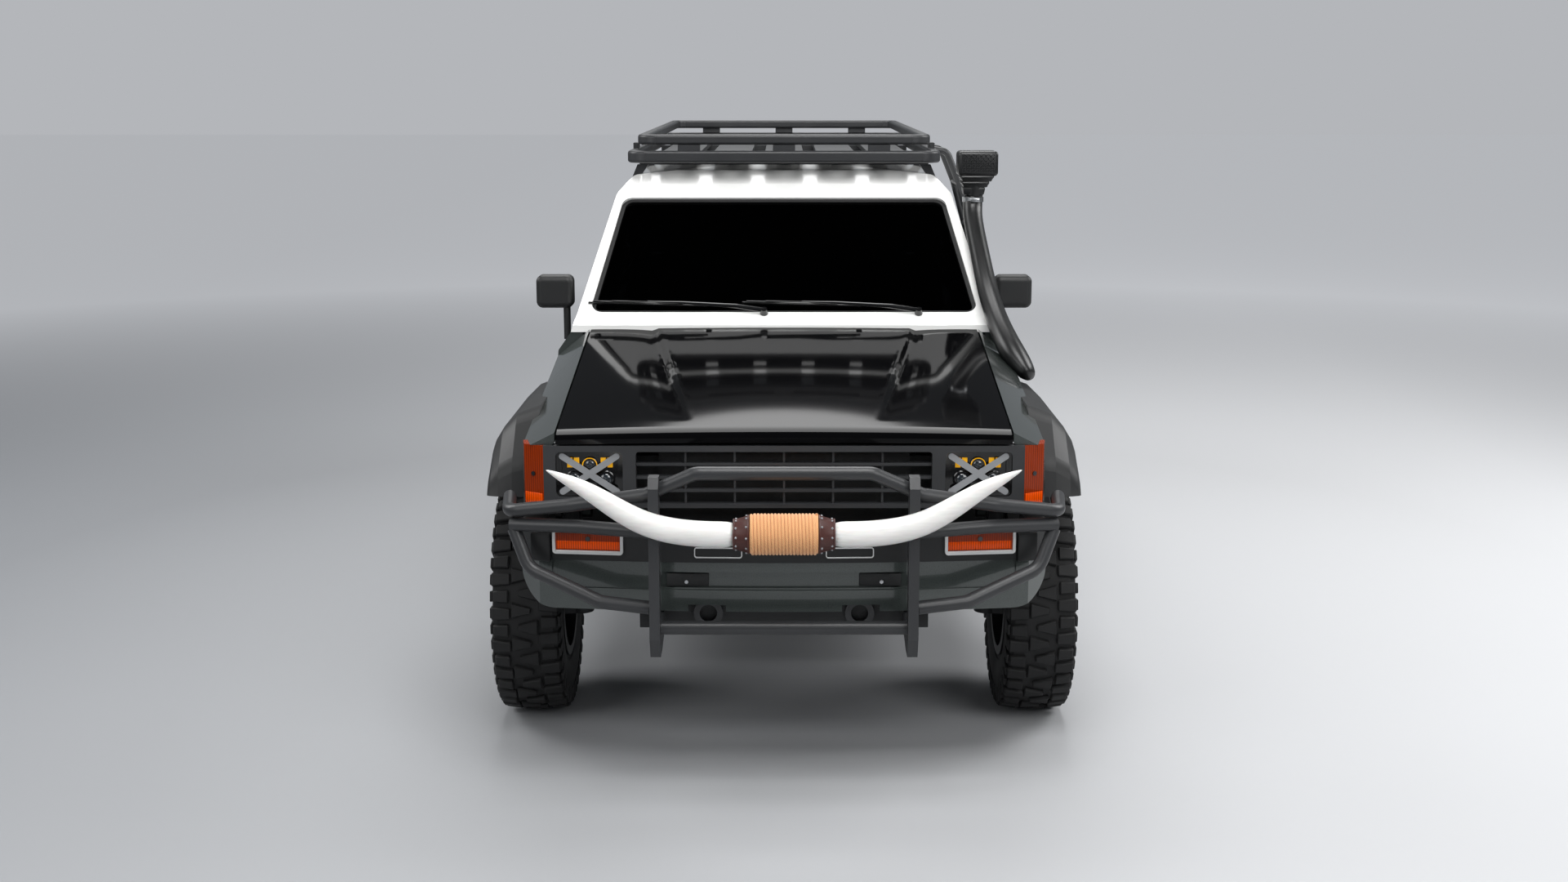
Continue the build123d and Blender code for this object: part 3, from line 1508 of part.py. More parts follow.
# Tyre, all in flat facets round the axle: a carcass under two rows of staggered lugs.
carcass_sides = 22
lug_count = 24  # round each half of the tread
lug_share = 0.6  # lug's part of its pitch
lug_height = 14
lug_end_x = tread_width / 2 + 1
lug_end_scale = 1 - (tread_crown + 1.6) / tyre_radius  # how far the rows drop to the shoulders
tyre_bead_x = rim_width / 2 - rim_flange - seat_gap
bead_lip_radius = rim_radius + rim_flange_rise + 2
carcass_half = [  # (x, radius) of the carcass's corners, from the tread to the bulge
    (tread_width / 2 - 15, tyre_radius - 26),
    (tread_width / 2 + 11, tyre_radius - 34),
    (tyre_width / 2, 304),
]


def carcass_ring(x, radius):
    """Ring of the carcass, square to the axle."""
    with BuildSketch(yz(x)) as ring:
        RegularPolygon(radius, carcass_sides)
    return ring.sketch


def lug_ring(x, scale, turn):
    """Lugs and the grooves between them, seen along the axle; at turn 0.5 two corners stand on the ground."""
    pitch = 2 * pi / lug_count
    lug_half = lug_share * pitch / 2
    tip = scale * tyre_radius / cos(pitch / 2 - lug_half)
    root = scale * (tyre_radius - lug_height)
    corners = []
    for index in range(lug_count):
        middle = (index + turn) * pitch - pi / 2
        for angle, radius in ((-lug_half, root), (-lug_half, tip), (lug_half, tip), (lug_half, root)):
            corners.append((radius * cos(middle + angle), radius * sin(middle + angle)))
    with BuildSketch(yz(x)) as ring:
        with BuildLine() as outline:
            Polyline(*corners, close=True)
        make_face(outline.edges())
    return ring.sketch


with BuildPart() as tyre_pattern:
    across = [(-x, radius) for x, radius in reversed(carcass_half)] + carcass_half
    loft([carcass_ring(x, radius) for x, radius in across], ruled=True)
    for row_side, turn in ((1, 0), (-1, 0.5)):
        loft([lug_ring(0, 1, turn), lug_ring(row_side * lug_end_x, lug_end_scale, turn)], ruled=True)
        bulge_x, bulge_radius = carcass_half[-1]
        dish = [
            carcass_ring(row_side * bulge_x, bulge_radius),
            carcass_ring(row_side * tyre_bead_x, bead_lip_radius),
        ]
        loft(dish, ruled=True, mode=Mode.SUBTRACT)
    with BuildSketch(yz(-tyre_width)):
        RegularPolygon(rim_radius, carcass_sides, major_radius=False)
    extrude(amount=2 * tyre_width, mode=Mode.SUBTRACT)
tyre_facets = [Face(facet.outer_wire(), facet.inner_wires()) for facet in tyre_pattern.faces()]
tyre_solid = Solid(Shell(tyre_facets))


def rim_lines(x, side):
    """Steel rim section: barrel, flanges and dished disc, seen from the front."""
    half = rim_width / 2
    outer = rim_radius - seat_gap
    lip = rim_radius + rim_flange_rise
    bore = hub_radius + seat_gap
    face = disc_offset
    profile = [
        (-half, lip),
        (-half + rim_flange, lip),
        (-half + rim_flange, outer),
        (half - rim_flange, outer),
        (half - rim_flange, lip),
        (half, lip),
        (half, outer - rim_wall),
        (face + 40, outer - rim_wall),
        (face + 14, 158),
        (face, 118),
        (face, bore),
        (face - disc_wall, bore),
        (face - disc_wall, 122),
        (face + 2, 164),
        (face + 14, outer - rim_wall),
        (-half, outer - rim_wall),
    ]
    Polyline(*[(x + side * a, axle_z + r) for a, r in profile], close=True)


vent_count, vent_radius, vent_circle = 8, 17, 140
wheel_table = [  # (name, side, axle y)
    ("front_left", 1, front_axle_y),
    ("front_right", -1, front_axle_y),
    ("rear_left", 1, rear_axle_y),
    ("rear_right", -1, rear_axle_y),
]
for wheel_name, side, axle_y in wheel_table:
    spin_axis = Axis((0, axle_y, axle_z), (1, 0, 0))
    with BuildPart() as tyre:
        add(tyre_solid.moved(Location((side * wheel_x, axle_y, axle_z))))
    pieces[f"tyre_{wheel_name}"] = tyre
    with BuildPart() as rim:
        with BuildSketch(xz(axle_y)):
            with BuildLine():
                rim_lines(side * wheel_x, side)
            make_face()
        revolve(axis=spin_axis)
        with Locations(Plane(origin=(side * wheel_x, axle_y, axle_z), z_dir=(side, 0, 0))):
            with PolarLocations(vent_circle, vent_count):
                Cylinder(
                    vent_radius,
                    rim_width / 2,
                    align=(Align.CENTER, Align.CENTER, Align.MIN),
                    mode=Mode.SUBTRACT,
                )
    pieces[f"rim_{wheel_name}"] = rim

# Suspension: leaf packs over the axles, and shock absorbers.
leaf_half, leaf_width, leaf_wall, leaf_camber = 560, 64, 34, 14
leaf_tip = 10  # main leaf's wall at its ends
spring_x = rail_x
with BuildPart() as suspension:
    for axle_y in (front_axle_y, rear_axle_y):
        seat_z = axle_z + axle_tube + seat_gap
        for spring_side in (-1, 1):
            with BuildSketch(yz(spring_side * spring_x - leaf_width / 2)):
                with BuildLine():
                    ThreePointArc(
                        (axle_y - leaf_half, seat_z + leaf_camber),
                        (axle_y, seat_z),
                        (axle_y + leaf_half, seat_z + leaf_camber),
                    )
                    end_z = seat_z + leaf_camber
                    tip_z = end_z + leaf_tip
                    Line((axle_y + leaf_half, end_z), (axle_y + leaf_half, tip_z))
                    ThreePointArc(
                        (axle_y + leaf_half, tip_z),
                        (axle_y, seat_z + leaf_wall),
                        (axle_y - leaf_half, tip_z),
                    )
                    Line((axle_y - leaf_half, tip_z), (axle_y - leaf_half, end_z))
                make_face()
            extrude(amount=leaf_width)
            for end in (-1, 1):
                hanger_y = axle_y + end * (leaf_half - 25)
                hanger_top = min(rail_under(hanger_y - 20), rail_under(hanger_y + 20)) - seat_gap
                with Locations((spring_side * spring_x, hanger_y, seat_z + leaf_camber - 2)):
                    Box(
                        leaf_width,
                        40,
                        hanger_top - seat_z - leaf_camber + 2,
                        align=(Align.CENTER, Align.CENTER, Align.MIN),
                    )
pieces["suspension"] = suspension

# Drivetrain: engine block, gearbox with transfer case, and both propeller shafts.
engine_size = (420, 560, 400)
engine_bottom_z = 545
gearbox_z = 486
with BuildPart() as drivetrain:
    with Locations((0, front_axle_y + 40, engine_bottom_z)):
        Box(*engine_size, align=(Align.CENTER, Align.CENTER, Align.MIN))
    for mount_side in (-1, 1):
        rail_inner_x = rail_x - rail_width / 2 - seat_gap
        with Locations((mount_side * rail_inner_x, front_axle_y + 40, engine_bottom_z + 20)):
            Box(
                rail_inner_x - engine_size[0] / 2 + weld_overlap,
                80,
                50,
                align=(Align.MAX if mount_side > 0 else Align.MIN, Align.CENTER, Align.MIN),
            )
    for y, radius in ((front_axle_y + 300, 112), (front_axle_y + 900, 78)):
        with BuildSketch(xz(y)):
            with Locations((0, gearbox_z)):
                Circle(radius)
    loft(ruled=True)
    with Locations((-40, front_axle_y + 1016, gearbox_z)):
        Box(290, 240, 150)
    for start, end in (
        ((-190, front_axle_y + 142, axle_z + 20), (-150, front_axle_y + 896 - seat_gap, gearbox_z - 40)),
        ((0, front_axle_y + 1136 + seat_gap, gearbox_z - 42), (0, rear_axle_y - 136, axle_z + 20)),
    ):
        run = Vector(*end) - Vector(*start)
        with BuildSketch(Plane(origin=start, z_dir=run)):
            Circle(30)
        extrude(amount=run.length)
pieces["drivetrain"] = drivetrain

# Exhaust, fuel tank and radiator.
with BuildPart() as exhaust:
    tube(
        [
            (300, front_axle_y + 420, 560),
            (300, front_axle_y + 900, 425),
            (300, rear_axle_y - 560, 425),
            (300, rear_axle_y - 330, 540),
            (300, rear_axle_y + 330, 540),
            (310, rear_axle_y + 560, 470),
            (330, tail_y - 60, 470),
        ],
        80,
        26,
    )
    with Locations((288, rear_axle_y - 820, 412)):
        Box(150, 420, 96)
    with Locations((288, cross_member_stations[2][0], cross_member_stations[2][1] - seat_gap)):
        Box(40, 30, 30, align=(Align.CENTER, Align.CENTER, Align.MAX))
pieces["exhaust"] = exhaust

with BuildPart() as fuel_tank:
    with Locations((-222, rear_axle_y - 1030, 410)):
        Box(270, 500, floor_z - floor_wall - seat_gap - 410, align=(Align.CENTER, Align.CENTER, Align.MIN))
    fillet(fuel_tank.edges().filter_by(Axis.Y), radius=40)
pieces["fuel_tank"] = fuel_tank

with BuildPart() as radiator:
    with Locations((0, front_axle_y - 560, 620)):
        Box(760, 60, 410, align=(Align.CENTER, Align.CENTER, Align.MIN))
    with Locations((0, front_axle_y - 560, 660)):
        Box(2 * (apron_x - seat_gap), 14, 320, align=(Align.CENTER, Align.CENTER, Align.MIN))
pieces["radiator"] = radiator

# Cabin: seats, dashboard and steering wheel.
front_seat_x, seat_half = 340, 255
seat_y = door_front_y + 820
seat_base_z = floor_z + 160


def seat_profile(back_y):
    """Seat seen from the left: cushion, raked back and head rest."""
    with BuildLine() as outline:
        Polyline(
            (back_y - 560, seat_base_z),
            (back_y - 575, seat_base_z + 130),
            (back_y - 110, seat_base_z + 110),
            (back_y + 20, seat_base_z + 690),
            (back_y + 100, seat_base_z + 680),
            (back_y + 20, seat_base_z),
            close=True,
        )
    made = make_face(outline.edges())
    fillet([v for v in made.vertices() if v.Y > seat_base_z + 1], radius=36)


plinth = (Align.CENTER, Align.CENTER, Align.MIN)
with BuildPart() as seats:
    for seat_x in (-front_seat_x, front_seat_x):
        with BuildSketch(yz(seat_x - seat_half)):
            seat_profile(seat_y)
        extrude(amount=2 * seat_half)
        with Locations((seat_x, seat_y - 270, floor_z)):
            Box(360, 420, seat_base_z - floor_z + weld_overlap, align=plinth)
    with BuildSketch(yz(-house_inner_x + 20)):
        seat_profile(seat_y + 830)
    extrude(amount=2 * house_inner_x - 40)
    with Locations((0, seat_y + 560, cargo_floor_z)):
        Box(900, 420, seat_base_z - cargo_floor_z + weld_overlap, align=plinth)
pieces["seats"] = seats

dash_front_y = firewall_y + firewall_wall + seat_gap
with BuildPart() as dashboard:
    with BuildSketch(yz(-690)):
        with BuildLine():
            Polyline(
                (dash_front_y, 900),
                (dash_front_y, belt_z - 46),
                (dash_front_y + 250, belt_z - 20),
                (dash_front_y + 290, belt_z - 80),
                (dash_front_y + 250, 940),
                close=True,
            )
        make_face()
    extrude(amount=2 * 690)
pieces["dashboard"] = dashboard

wheel_centre = (front_seat_x, dash_front_y + 390, 1120)
column_lean = (0, 0.78, 0.45)
with BuildPart() as steering_wheel:
    rim_plane = Plane(origin=wheel_centre, z_dir=column_lean)
    with Locations(rim_plane):
        Torus(185, 14)
        Cylinder(45, 40)
        Box(350, 34, 18)
    with BuildSketch(rim_plane):
        Circle(24)
    extrude(amount=-190)
    add(dashboard.part, mode=Mode.SUBTRACT)
pieces["steering_wheel"] = steering_wheel

for name, piece in pieces.items():
    piece.part.label = name
    export_step(piece.part, f"parts/{name}.step")
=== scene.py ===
"""Looks of a lifted two-door sport utility vehicle: finishes, tyres, lamps, horns, snorkel and trim."""

import math

import bmesh
import bpy
from bpy.props import FloatProperty, FloatVectorProperty, IntProperty, PointerProperty
from mathutils import Matrix, Vector


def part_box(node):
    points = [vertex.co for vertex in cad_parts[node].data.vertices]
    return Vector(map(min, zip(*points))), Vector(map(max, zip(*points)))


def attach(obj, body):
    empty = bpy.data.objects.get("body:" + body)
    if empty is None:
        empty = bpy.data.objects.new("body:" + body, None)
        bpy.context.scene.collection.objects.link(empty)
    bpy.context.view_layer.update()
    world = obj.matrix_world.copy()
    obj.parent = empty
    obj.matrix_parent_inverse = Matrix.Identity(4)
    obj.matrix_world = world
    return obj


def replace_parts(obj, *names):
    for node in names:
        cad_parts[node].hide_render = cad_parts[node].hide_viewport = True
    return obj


bl_info = {
    "name": "Lifted sport utility vehicle",
    "version": (1, 0, 0),
    "blender": (4, 5, 0),
    "location": "View3D > Sidebar > Vehicle",
    "description": "Dresses the vehicle's frame with its finishes, tyres, lamps, horns and trim",
    "category": "Object",
}

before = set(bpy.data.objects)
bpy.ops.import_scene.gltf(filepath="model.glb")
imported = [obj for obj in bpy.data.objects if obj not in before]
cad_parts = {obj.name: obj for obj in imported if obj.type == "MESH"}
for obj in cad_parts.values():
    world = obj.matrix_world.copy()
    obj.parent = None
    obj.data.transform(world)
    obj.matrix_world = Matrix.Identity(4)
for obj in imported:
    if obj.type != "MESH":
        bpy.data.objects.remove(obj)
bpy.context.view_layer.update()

MM = 0.001
BAND = 314.0  # wave texture scale at which one band is 1 mm wide
WHEELS = ("front_left", "front_right", "rear_left", "rear_right")
SIDES = (("left", 1), ("right", -1))


def linear(code):
    """Hex sRGB colour as linear red, green, blue and alpha."""
    channels = [int(code[i : i + 2], 16) / 255 for i in (1, 3, 5)]
    return (*[c / 12.92 if c <= 0.04045 else ((c + 0.055) / 1.055) ** 2.4 for c in channels], 1.0)


def tone(colour, factor):
    """The same colour, darker or lighter."""
    return (*[min(1.0, c * factor) for c in colour[:3]], 1.0)


def mm(*lengths):
    """Lengths in millimetres, as metres."""
    return tuple(length * MM for length in lengths)


def node_box(name):
    """Lowest corner, highest corner and middle of a CAD node."""
    low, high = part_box(name)
    return low, high, (low + high) / 2


def colour_prop(name, code):
    """Colour setting given as hex sRGB."""
    text = f"Colour of the {name.lower()}"
    limits = {"min": 0, "max": 1}
    return FloatVectorProperty(
        name=name, description=text, subtype="COLOR", size=4, default=linear(code), **limits
    )


def length_prop(name, description, default):
    """Length setting in metres."""
    return FloatProperty(name=name, description=description, default=default, min=0.0, unit="LENGTH")


class VehicleColours(bpy.types.PropertyGroup):
    """Colours that an owner would choose."""

    body: colour_prop("Body paint", "#3E4442")
    top: colour_prop("Top paint", "#F3F3F1")
    hood: colour_prop("Hood paint", "#060607")
    amber: colour_prop("Amber lenses", "#8F2E02")
    horn: colour_prop("Horns", "#E9E8E5")
    leather: colour_prop("Leather collars", "#4A2019")
    rope: colour_prop("Rope wrap", "#E2A873")


class VehicleSizes(bpy.types.PropertyGroup):
    """Sizes of the pieces that dress the frame."""

    lug_pitches: IntProperty(
        name="Lug pitches", description="Tread pitches round a tyre, even", default=44, min=20, max=60
    )
    lug_height: length_prop("Lug height", "Height of the tread blocks over the carcass", 14 * MM)
    rope_diameter: length_prop("Rope diameter", "Diameter of the rope on the horns", 9.8 * MM)
    gasket_width: length_prop("Gasket width", "Width of the rubber round the windows", 14 * MM)
    nut_circle: length_prop("Nut circle", "Radius of the wheel nuts' circle", 70 * MM)
    nut_count: IntProperty(name="Wheel nuts", description="Wheel nuts on a wheel", default=6, min=4, max=8)


def add_node(tree, kind, sockets=None, **settings):
    """Adds a node, gives it its settings, and sets or links its sockets."""
    node = tree.nodes.new(kind)
    for name, value in settings.items():
        setattr(node, name, value)
    for name, value in (sockets or {}).items():
        if isinstance(value, bpy.types.NodeSocket):
            tree.links.new(value, node.inputs[name])
        else:
            node.inputs[name].default_value = value
    return node


def start_finish(name, sockets):
    """New material with its shader's own sockets set; returns it with its tree, shader and coordinates."""
    material = bpy.data.materials.new(name)
    material.use_nodes = True
    tree = material.node_tree
    shader = tree.nodes["Principled BSDF"]
    for socket, value in sockets.items():
        shader.inputs[socket].default_value = value
    place = add_node(tree, "ShaderNodeTexCoord").outputs["Object"]
    return material, tree, shader, place


def shade_by(tree, shader, value, dark, light, spread=(0.0, 1.0)):
    """Colours a finish between two shades by a value, over the given stretch of it."""
    shade = add_node(tree, "ShaderNodeValToRGB", {"Fac": value})
    for element, colour, position in zip(shade.color_ramp.elements, (dark, light), spread):
        element.position = position
        element.color = colour
    tree.links.new(shade.outputs["Color"], shader.inputs["Base Color"])


def raise_by(tree, shader, height, strength, depth_mm, socket="Normal"):
    """Gives a finish relief by a height, at most depth_mm deep."""
    sockets = {"Height": height, "Strength": strength, "Distance": depth_mm * MM}
    bump = add_node(tree, "ShaderNodeBump", sockets)
    tree.links.new(bump.outputs["Normal"], shader.inputs[socket])
    return bump


def bands(tree, place, width_mm, direction="X", **sockets):
    """Soft stripes of a width across a direction; returns their height."""
    wave = add_node(tree, "ShaderNodeTexWave", {"Vector": place, "Scale": BAND / width_mm, **sockets})
    wave.bands_direction = direction
    return wave.outputs["Fac"]


def grained(name, colour, roughness, grain_mm, relief, patch_mm=220, spread=0.12, sockets=None):
    """Finish with a fine grain in its relief and slow patches in its shade and gloss."""
    material, tree, shader, place = start_finish(name, {"Roughness": roughness, **(sockets or {})})
    grain = add_node(tree, "ShaderNodeTexNoise", {"Vector": place, "Scale": 1000 / grain_mm, "Detail": 3.0})
    patches = add_node(tree, "ShaderNodeTexNoise", {"Vector": place, "Scale": 1000 / patch_mm, "Detail": 4.0})
    dull, bright = 1 - spread, 1 + spread
    shade_by(tree, shader, patches.outputs["Fac"], tone(colour, dull), tone(colour, bright), (0.3, 0.7))
    sockets = {"Value": patches.outputs["Fac"], "To Min": roughness * dull, "To Max": roughness * bright}
    gloss = add_node(tree, "ShaderNodeMapRange", sockets)
    tree.links.new(gloss.outputs["Result"], shader.inputs["Roughness"])
    raise_by(tree, shader, grain.outputs["Fac"], relief, grain_mm)
    return material


def metallic_lacquer(name, colour):
    """Clear-coated metallic lacquer: flakes sparkle under a glassy coat with a faint orange peel."""
    coat = {"Coat Weight": 1.0, "Coat Roughness": 0.06, "Coat IOR": 1.5}
    material, tree, shader, place = start_finish(name, {"Metallic": 0.55, "Roughness": 0.38, **coat})
    # Flakes are about 0.05 mm; they are drawn 3 mm wide so that they show.
    flakes = add_node(tree, "ShaderNodeTexVoronoi", {"Vector": place, "Scale": 1000 / 3})
    shade_by(tree, shader, flakes.outputs["Distance"], tone(colour, 1.18), tone(colour, 0.82))
    peel = add_node(tree, "ShaderNodeTexNoise", {"Vector": place, "Scale": 1000 / 9})
    raise_by(tree, shader, peel.outputs["Fac"], 0.02, 1, "Coat Normal")
    return material


def tinted_glass(name):
    """Dark laminated glass: a clean mirror-like face that lets very little through."""
    tint = {"Base Color": linear("#15171A"), "Transmission Weight": 1.0, "IOR": 1.52}
    material, tree, shader, place = start_finish(name, tint)
    film = add_node(tree, "ShaderNodeTexNoise", {"Vector": place, "Scale": 1000 / 260, "Detail": 3.0})
    sockets = {"Value": film.outputs["Fac"], "To Min": 0.01, "To Max": 0.05}
    haze = add_node(tree, "ShaderNodeMapRange", sockets)
    tree.links.new(haze.outputs["Result"], shader.inputs["Roughness"])
    return material


def fluted_lens(name, colour, flute_mm):
    """Moulded acrylic lens: glossy outside, with upright flutes that break up the light."""
    clear = {"Roughness": 0.16, "IOR": 1.49, "Specular IOR Level": 0.22}
    material, tree, shader, place = start_finish(name, clear)
    flutes = bands(tree, place, flute_mm)
    shade_by(tree, shader, flutes, tone(colour, 0.62), tone(colour, 1.12))
    raise_by(tree, shader, flutes, 0.3, 2)
    return material


def polished_horn(name, colour):
    """Polished horn: near white, with faint streaks along it and a soft shine."""
    shine = {"Roughness": 0.32, "IOR": 1.54, "Subsurface Weight": 0.1, "Coat Weight": 0.3}
    material, tree, shader, place = start_finish(name, shine)
    stretch = add_node(tree, "ShaderNodeMapping", {"Vector": place, "Scale": (0.12, 1.0, 1.0)})
    sockets = {"Vector": stretch.outputs["Vector"], "Scale": 1000 / 9, "Detail": 4.0}
    streaks = add_node(tree, "ShaderNodeTexNoise", sockets)
    shade_by(tree, shader, streaks.outputs["Fac"], tone(colour, 0.9), colour, (0.3, 0.62))
    raise_by(tree, shader, streaks.outputs["Fac"], 0.12, 1)
    return material


def creased_leather(name, colour):
    """Vegetable-tanned leather: pebbled cells of about 3 mm with darker creases and a waxed shine."""
    material, tree, shader, place = start_finish(name, {"Roughness": 0.45, "IOR": 1.5})
    sockets = {"Vector": place, "Scale": 1000 / 3}
    cells = add_node(tree, "ShaderNodeTexVoronoi", sockets, feature="DISTANCE_TO_EDGE")
    shade_by(tree, shader, cells.outputs["Distance"], tone(colour, 0.55), colour, (0.0, 0.22))
    raise_by(tree, shader, cells.outputs["Distance"], 0.35, 1)
    return material


def twisted_rope(name, colour):
    """Laid cotton rope: matt, with short slanted strands about 3 mm wide and stray fibres."""
    material, tree, shader, place = start_finish(name, {"Roughness": 0.82, "Sheen Weight": 0.25})
    strands = bands(tree, place, 3, "DIAGONAL", **{"Distortion": 3.0, "Detail": 2.0, "Detail Scale": 2.0})
    fibres = add_node(tree, "ShaderNodeTexNoise", {"Vector": place, "Scale": 1000 / 1.5, "Detail": 4.0})
    shade_by(tree, shader, strands, tone(colour, 0.82), tone(colour, 1.06))
    laid = raise_by(tree, shader, strands, 0.35, 1)
    stray = raise_by(tree, shader, fibres.outputs["Fac"], 0.2, 0.5)
    tree.links.new(laid.outputs["Normal"], stray.inputs["Normal"])
    return material


def woven_cloth(name, colour):
    """Flat-woven upholstery cloth: two crossing threads of about 2 mm, matt with a little sheen."""
    material, tree, shader, place = start_finish(name, {"Roughness": 0.9, "Sheen Weight": 0.3})
    threads = {0: bands(tree, place, 2), 1: bands(tree, place, 2, "DIAGONAL")}
    weave = add_node(tree, "ShaderNodeMath", threads, operation="MULTIPLY").outputs["Value"]
    shade_by(tree, shader, weave, tone(colour, 0.6), tone(colour, 1.3))
    raise_by(tree, shader, weave, 0.4, 1)
    return material


def lit_strip(name, colour):
    """Diode strip behind a yellow film: even, saturated and slightly lit."""
    lit = {"Emission Color": colour, "Emission Strength": 0.35}
    material, tree, shader, place = start_finish(name, {"Base Color": colour, "Roughness": 0.3, **lit})
    raise_by(tree, shader, bands(tree, place, 4), 0.4, 1)
    return material


FINISHES = {}


def make_finishes(colours):
    """Every finish on the vehicle, by a short name."""
    metal = {"Metallic": 1.0}
    part_metal = {"Metallic": 0.4}
    gloss_coat = {"Coat Weight": 0.5}
    coat = {"Coat Weight": 0.9, "Coat Roughness": 0.05}
    thin_coat = {"Coat Weight": 0.4, "Coat Roughness": 0.06, "Specular IOR Level": 0.0}
    FINISHES.update(
        # Two-pack enamel: bright and smooth, with a wet-looking coat.
        top=grained("Enamel, white gloss", tuple(colours.top), 0.3, 12, 0.015, 600, 0.02, coat),
        body=metallic_lacquer("Metallic lacquer, grey-green", tuple(colours.body)),
        # Solid black lacquer: all that shows is what it mirrors.
        hood=grained("Lacquer, black gloss", tuple(colours.hood), 0.22, 12, 0.004, 700, 0.06, thin_coat),
        glass=tinted_glass("Laminated glass, dark tint"),
        # Grained polypropylene: dull, with a fine pebble that softens highlights.
        plastic=grained("Polypropylene, black grained", linear("#121314"), 0.5, 2.5, 0.1),
        moulding=grained("ABS, charcoal moulded", linear("#2C2D2F"), 0.5, 3, 0.06),
        # Polyethylene: smooth rotational moulding with a waxy shine.
        snorkel=grained("Polyethylene, black moulded", linear("#0E0F10"), 0.36, 5, 0.03),
        # Powder coat: even, satin, with a slight orange peel.
        powder=grained("Powder coat, black satin", linear("#2B2C2E"), 0.4, 4, 0.05),
        amber=fluted_lens("Acrylic, amber fluted", tuple(colours.amber), 7),
        # Painted highlight: where the lamp's own reflector would shine back, the lens is drawn as a bright,
        # clean orange, the amber three times as light.
        glow=fluted_lens("Acrylic, amber, painted reflector highlight", tone(tuple(colours.amber), 3.0), 7),
        red=fluted_lens("Acrylic, red fluted", linear("#9A0B0B"), 7),
        clear=fluted_lens("Acrylic, clear fluted", linear("#C9CCCE"), 7),
        horn=polished_horn("Horn, polished white", tuple(colours.horn)),
        leather=creased_leather("Leather, brown waxed", tuple(colours.leather)),
        rope=twisted_rope("Cotton rope, natural laid", tuple(colours.rope)),
        # Tyre rubber: nearly black and dull, greyed by dust in patches.
        rubber=grained("Rubber, tyre black", linear("#0B0B0C"), 0.7, 3, 0.2, 120, 0.25),
        seal=grained("Rubber, seal black", linear("#0C0C0D"), 0.6, 3, 0.1),
        steel_wheel=grained("Steel, black wheel enamel", linear("#0D0E0F"), 0.5, 5, 0.03),
        chassis=grained("Steel, chassis black", linear("#151617"), 0.6, 6, 0.12),
        cast=grained("Cast iron, bare grey", linear("#3C3D3E"), 0.62, 4, 0.3, sockets={"Metallic": 0.5}),
        exhaust=grained("Steel, aluminised", linear("#77746F"), 0.45, 8, 0.08, sockets=metal),
        bright=grained("Steel, zinc bright", linear("#B9BBBD"), 0.28, 4, 0.03, sockets=metal),
        strap=grained("Aluminium, satin anodised", linear("#9B9DA0"), 0.42, 2.5, 0.05, sockets=part_metal),
        mirror=grained("Glass, silvered", linear("#D4D8DA"), 0.03, 30, 0.005, 500, 0.02, metal),
        pale=grained("ABS, pale grey trim", linear("#C8C9C9"), 0.35, 3, 0.02),
        lamp_black=grained(
            "Polycarbonate, black gloss", linear("#0A0A0B"), 0.18, 6, 0.02, sockets=gloss_coat
        ),
        yellow=lit_strip("Diode strip, yellow", linear("#F0AE08")),
        lens=grained("Glass, lamp lens", linear("#20262B"), 0.04, 40, 0.01, 400, 0.05, {"Coat Weight": 1.0}),
        cloth=woven_cloth("Upholstery cloth, grey woven", linear("#3A3B3E")),
        vinyl=grained("Vinyl, dash grey", linear("#2B2C2E"), 0.6, 2, 0.2),
        plate=grained("Aluminium, blank plate white", linear("#D9D9D6"), 0.4, 6, 0.02),
    )


NODE_FINISH = {
    "top": ("cab_roof", "windshield_frame", "hardtop"),
    "body": ("front_fenders", "door_left", "door_right", "quarter_panels", "front_valance", "tailgate"),
    "hood": ("hood",),
    "glass": ("fixed_glass", "door_glass_left", "door_glass_right"),
    "plastic": ("front_bumper", "fender_flares", "mirror_left", "mirror_right", "rear_bumper"),
    "moulding": ("grille",),
    "snorkel": ("snorkel",),
    "powder": ("bull_bar", "rack_frame", "rack_floor", "side_ladder", "tow_eyes", "bumper_brackets"),
    "amber": ("amber_lamps",),
    "red": ("tail_lamps",),
    "horn": ("horns",),
    "leather": ("horn_collars",),
    "rope": ("horn_wrap",),
    "rubber": tuple(f"tyre_{name}" for name in WHEELS),
    "steel_wheel": tuple(f"rim_{name}" for name in WHEELS),
    "chassis": (
        *("ladder_frame", "body_tub", "front_axle", "rear_axle"),
        *("suspension", "fuel_tank", "tie_rod", "radiator"),
    ),
    "cast": ("drivetrain", "knuckle_left", "knuckle_right"),
    "exhaust": ("exhaust",),
    "strap": ("headlamp_straps",),
    "lamp_black": ("headlamps", "wipers"),
    "cloth": ("seats",),
    "vinyl": ("dashboard", "steering_wheel"),
}


class VEHICLE_OT_finishes(bpy.types.Operator):
    """Makes the finishes and gives every CAD node its own"""

    bl_idname = "vehicle.finishes"
    bl_label = "Finishes"

    def execute(self, context):
        make_finishes(context.scene.vehicle_colours)
        for finish, names in NODE_FINISH.items():
            for name in names:
                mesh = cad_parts[name].data
                mesh.materials.clear()
                mesh.materials.append(FINISHES[finish])
        bare = set(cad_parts) - {name for names in NODE_FINISH.values() for name in names}
        if bare:
            raise RuntimeError(f"nodes with no finish: {sorted(bare)}")
        return {"FINISHED"}


def finish_piece(bm, name, finish, body, sharp=35):
    """Closes a bmesh as an object at the origin that rides on a body."""
    bmesh.ops.remove_doubles(bm, verts=bm.verts, dist=1e-6)
    bmesh.ops.recalc_face_normals(bm, faces=bm.faces)
    mesh = bpy.data.meshes.new(name)
    bm.to_mesh(mesh)
    bm.free()
    mesh.materials.append(FINISHES[finish])
    mesh.shade_smooth()
    mesh.set_sharp_from_angle(angle=math.radians(sharp))
    piece = bpy.data.objects.new(name, mesh)
    bpy.context.scene.collection.objects.link(piece)
    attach(piece, body)
    return piece


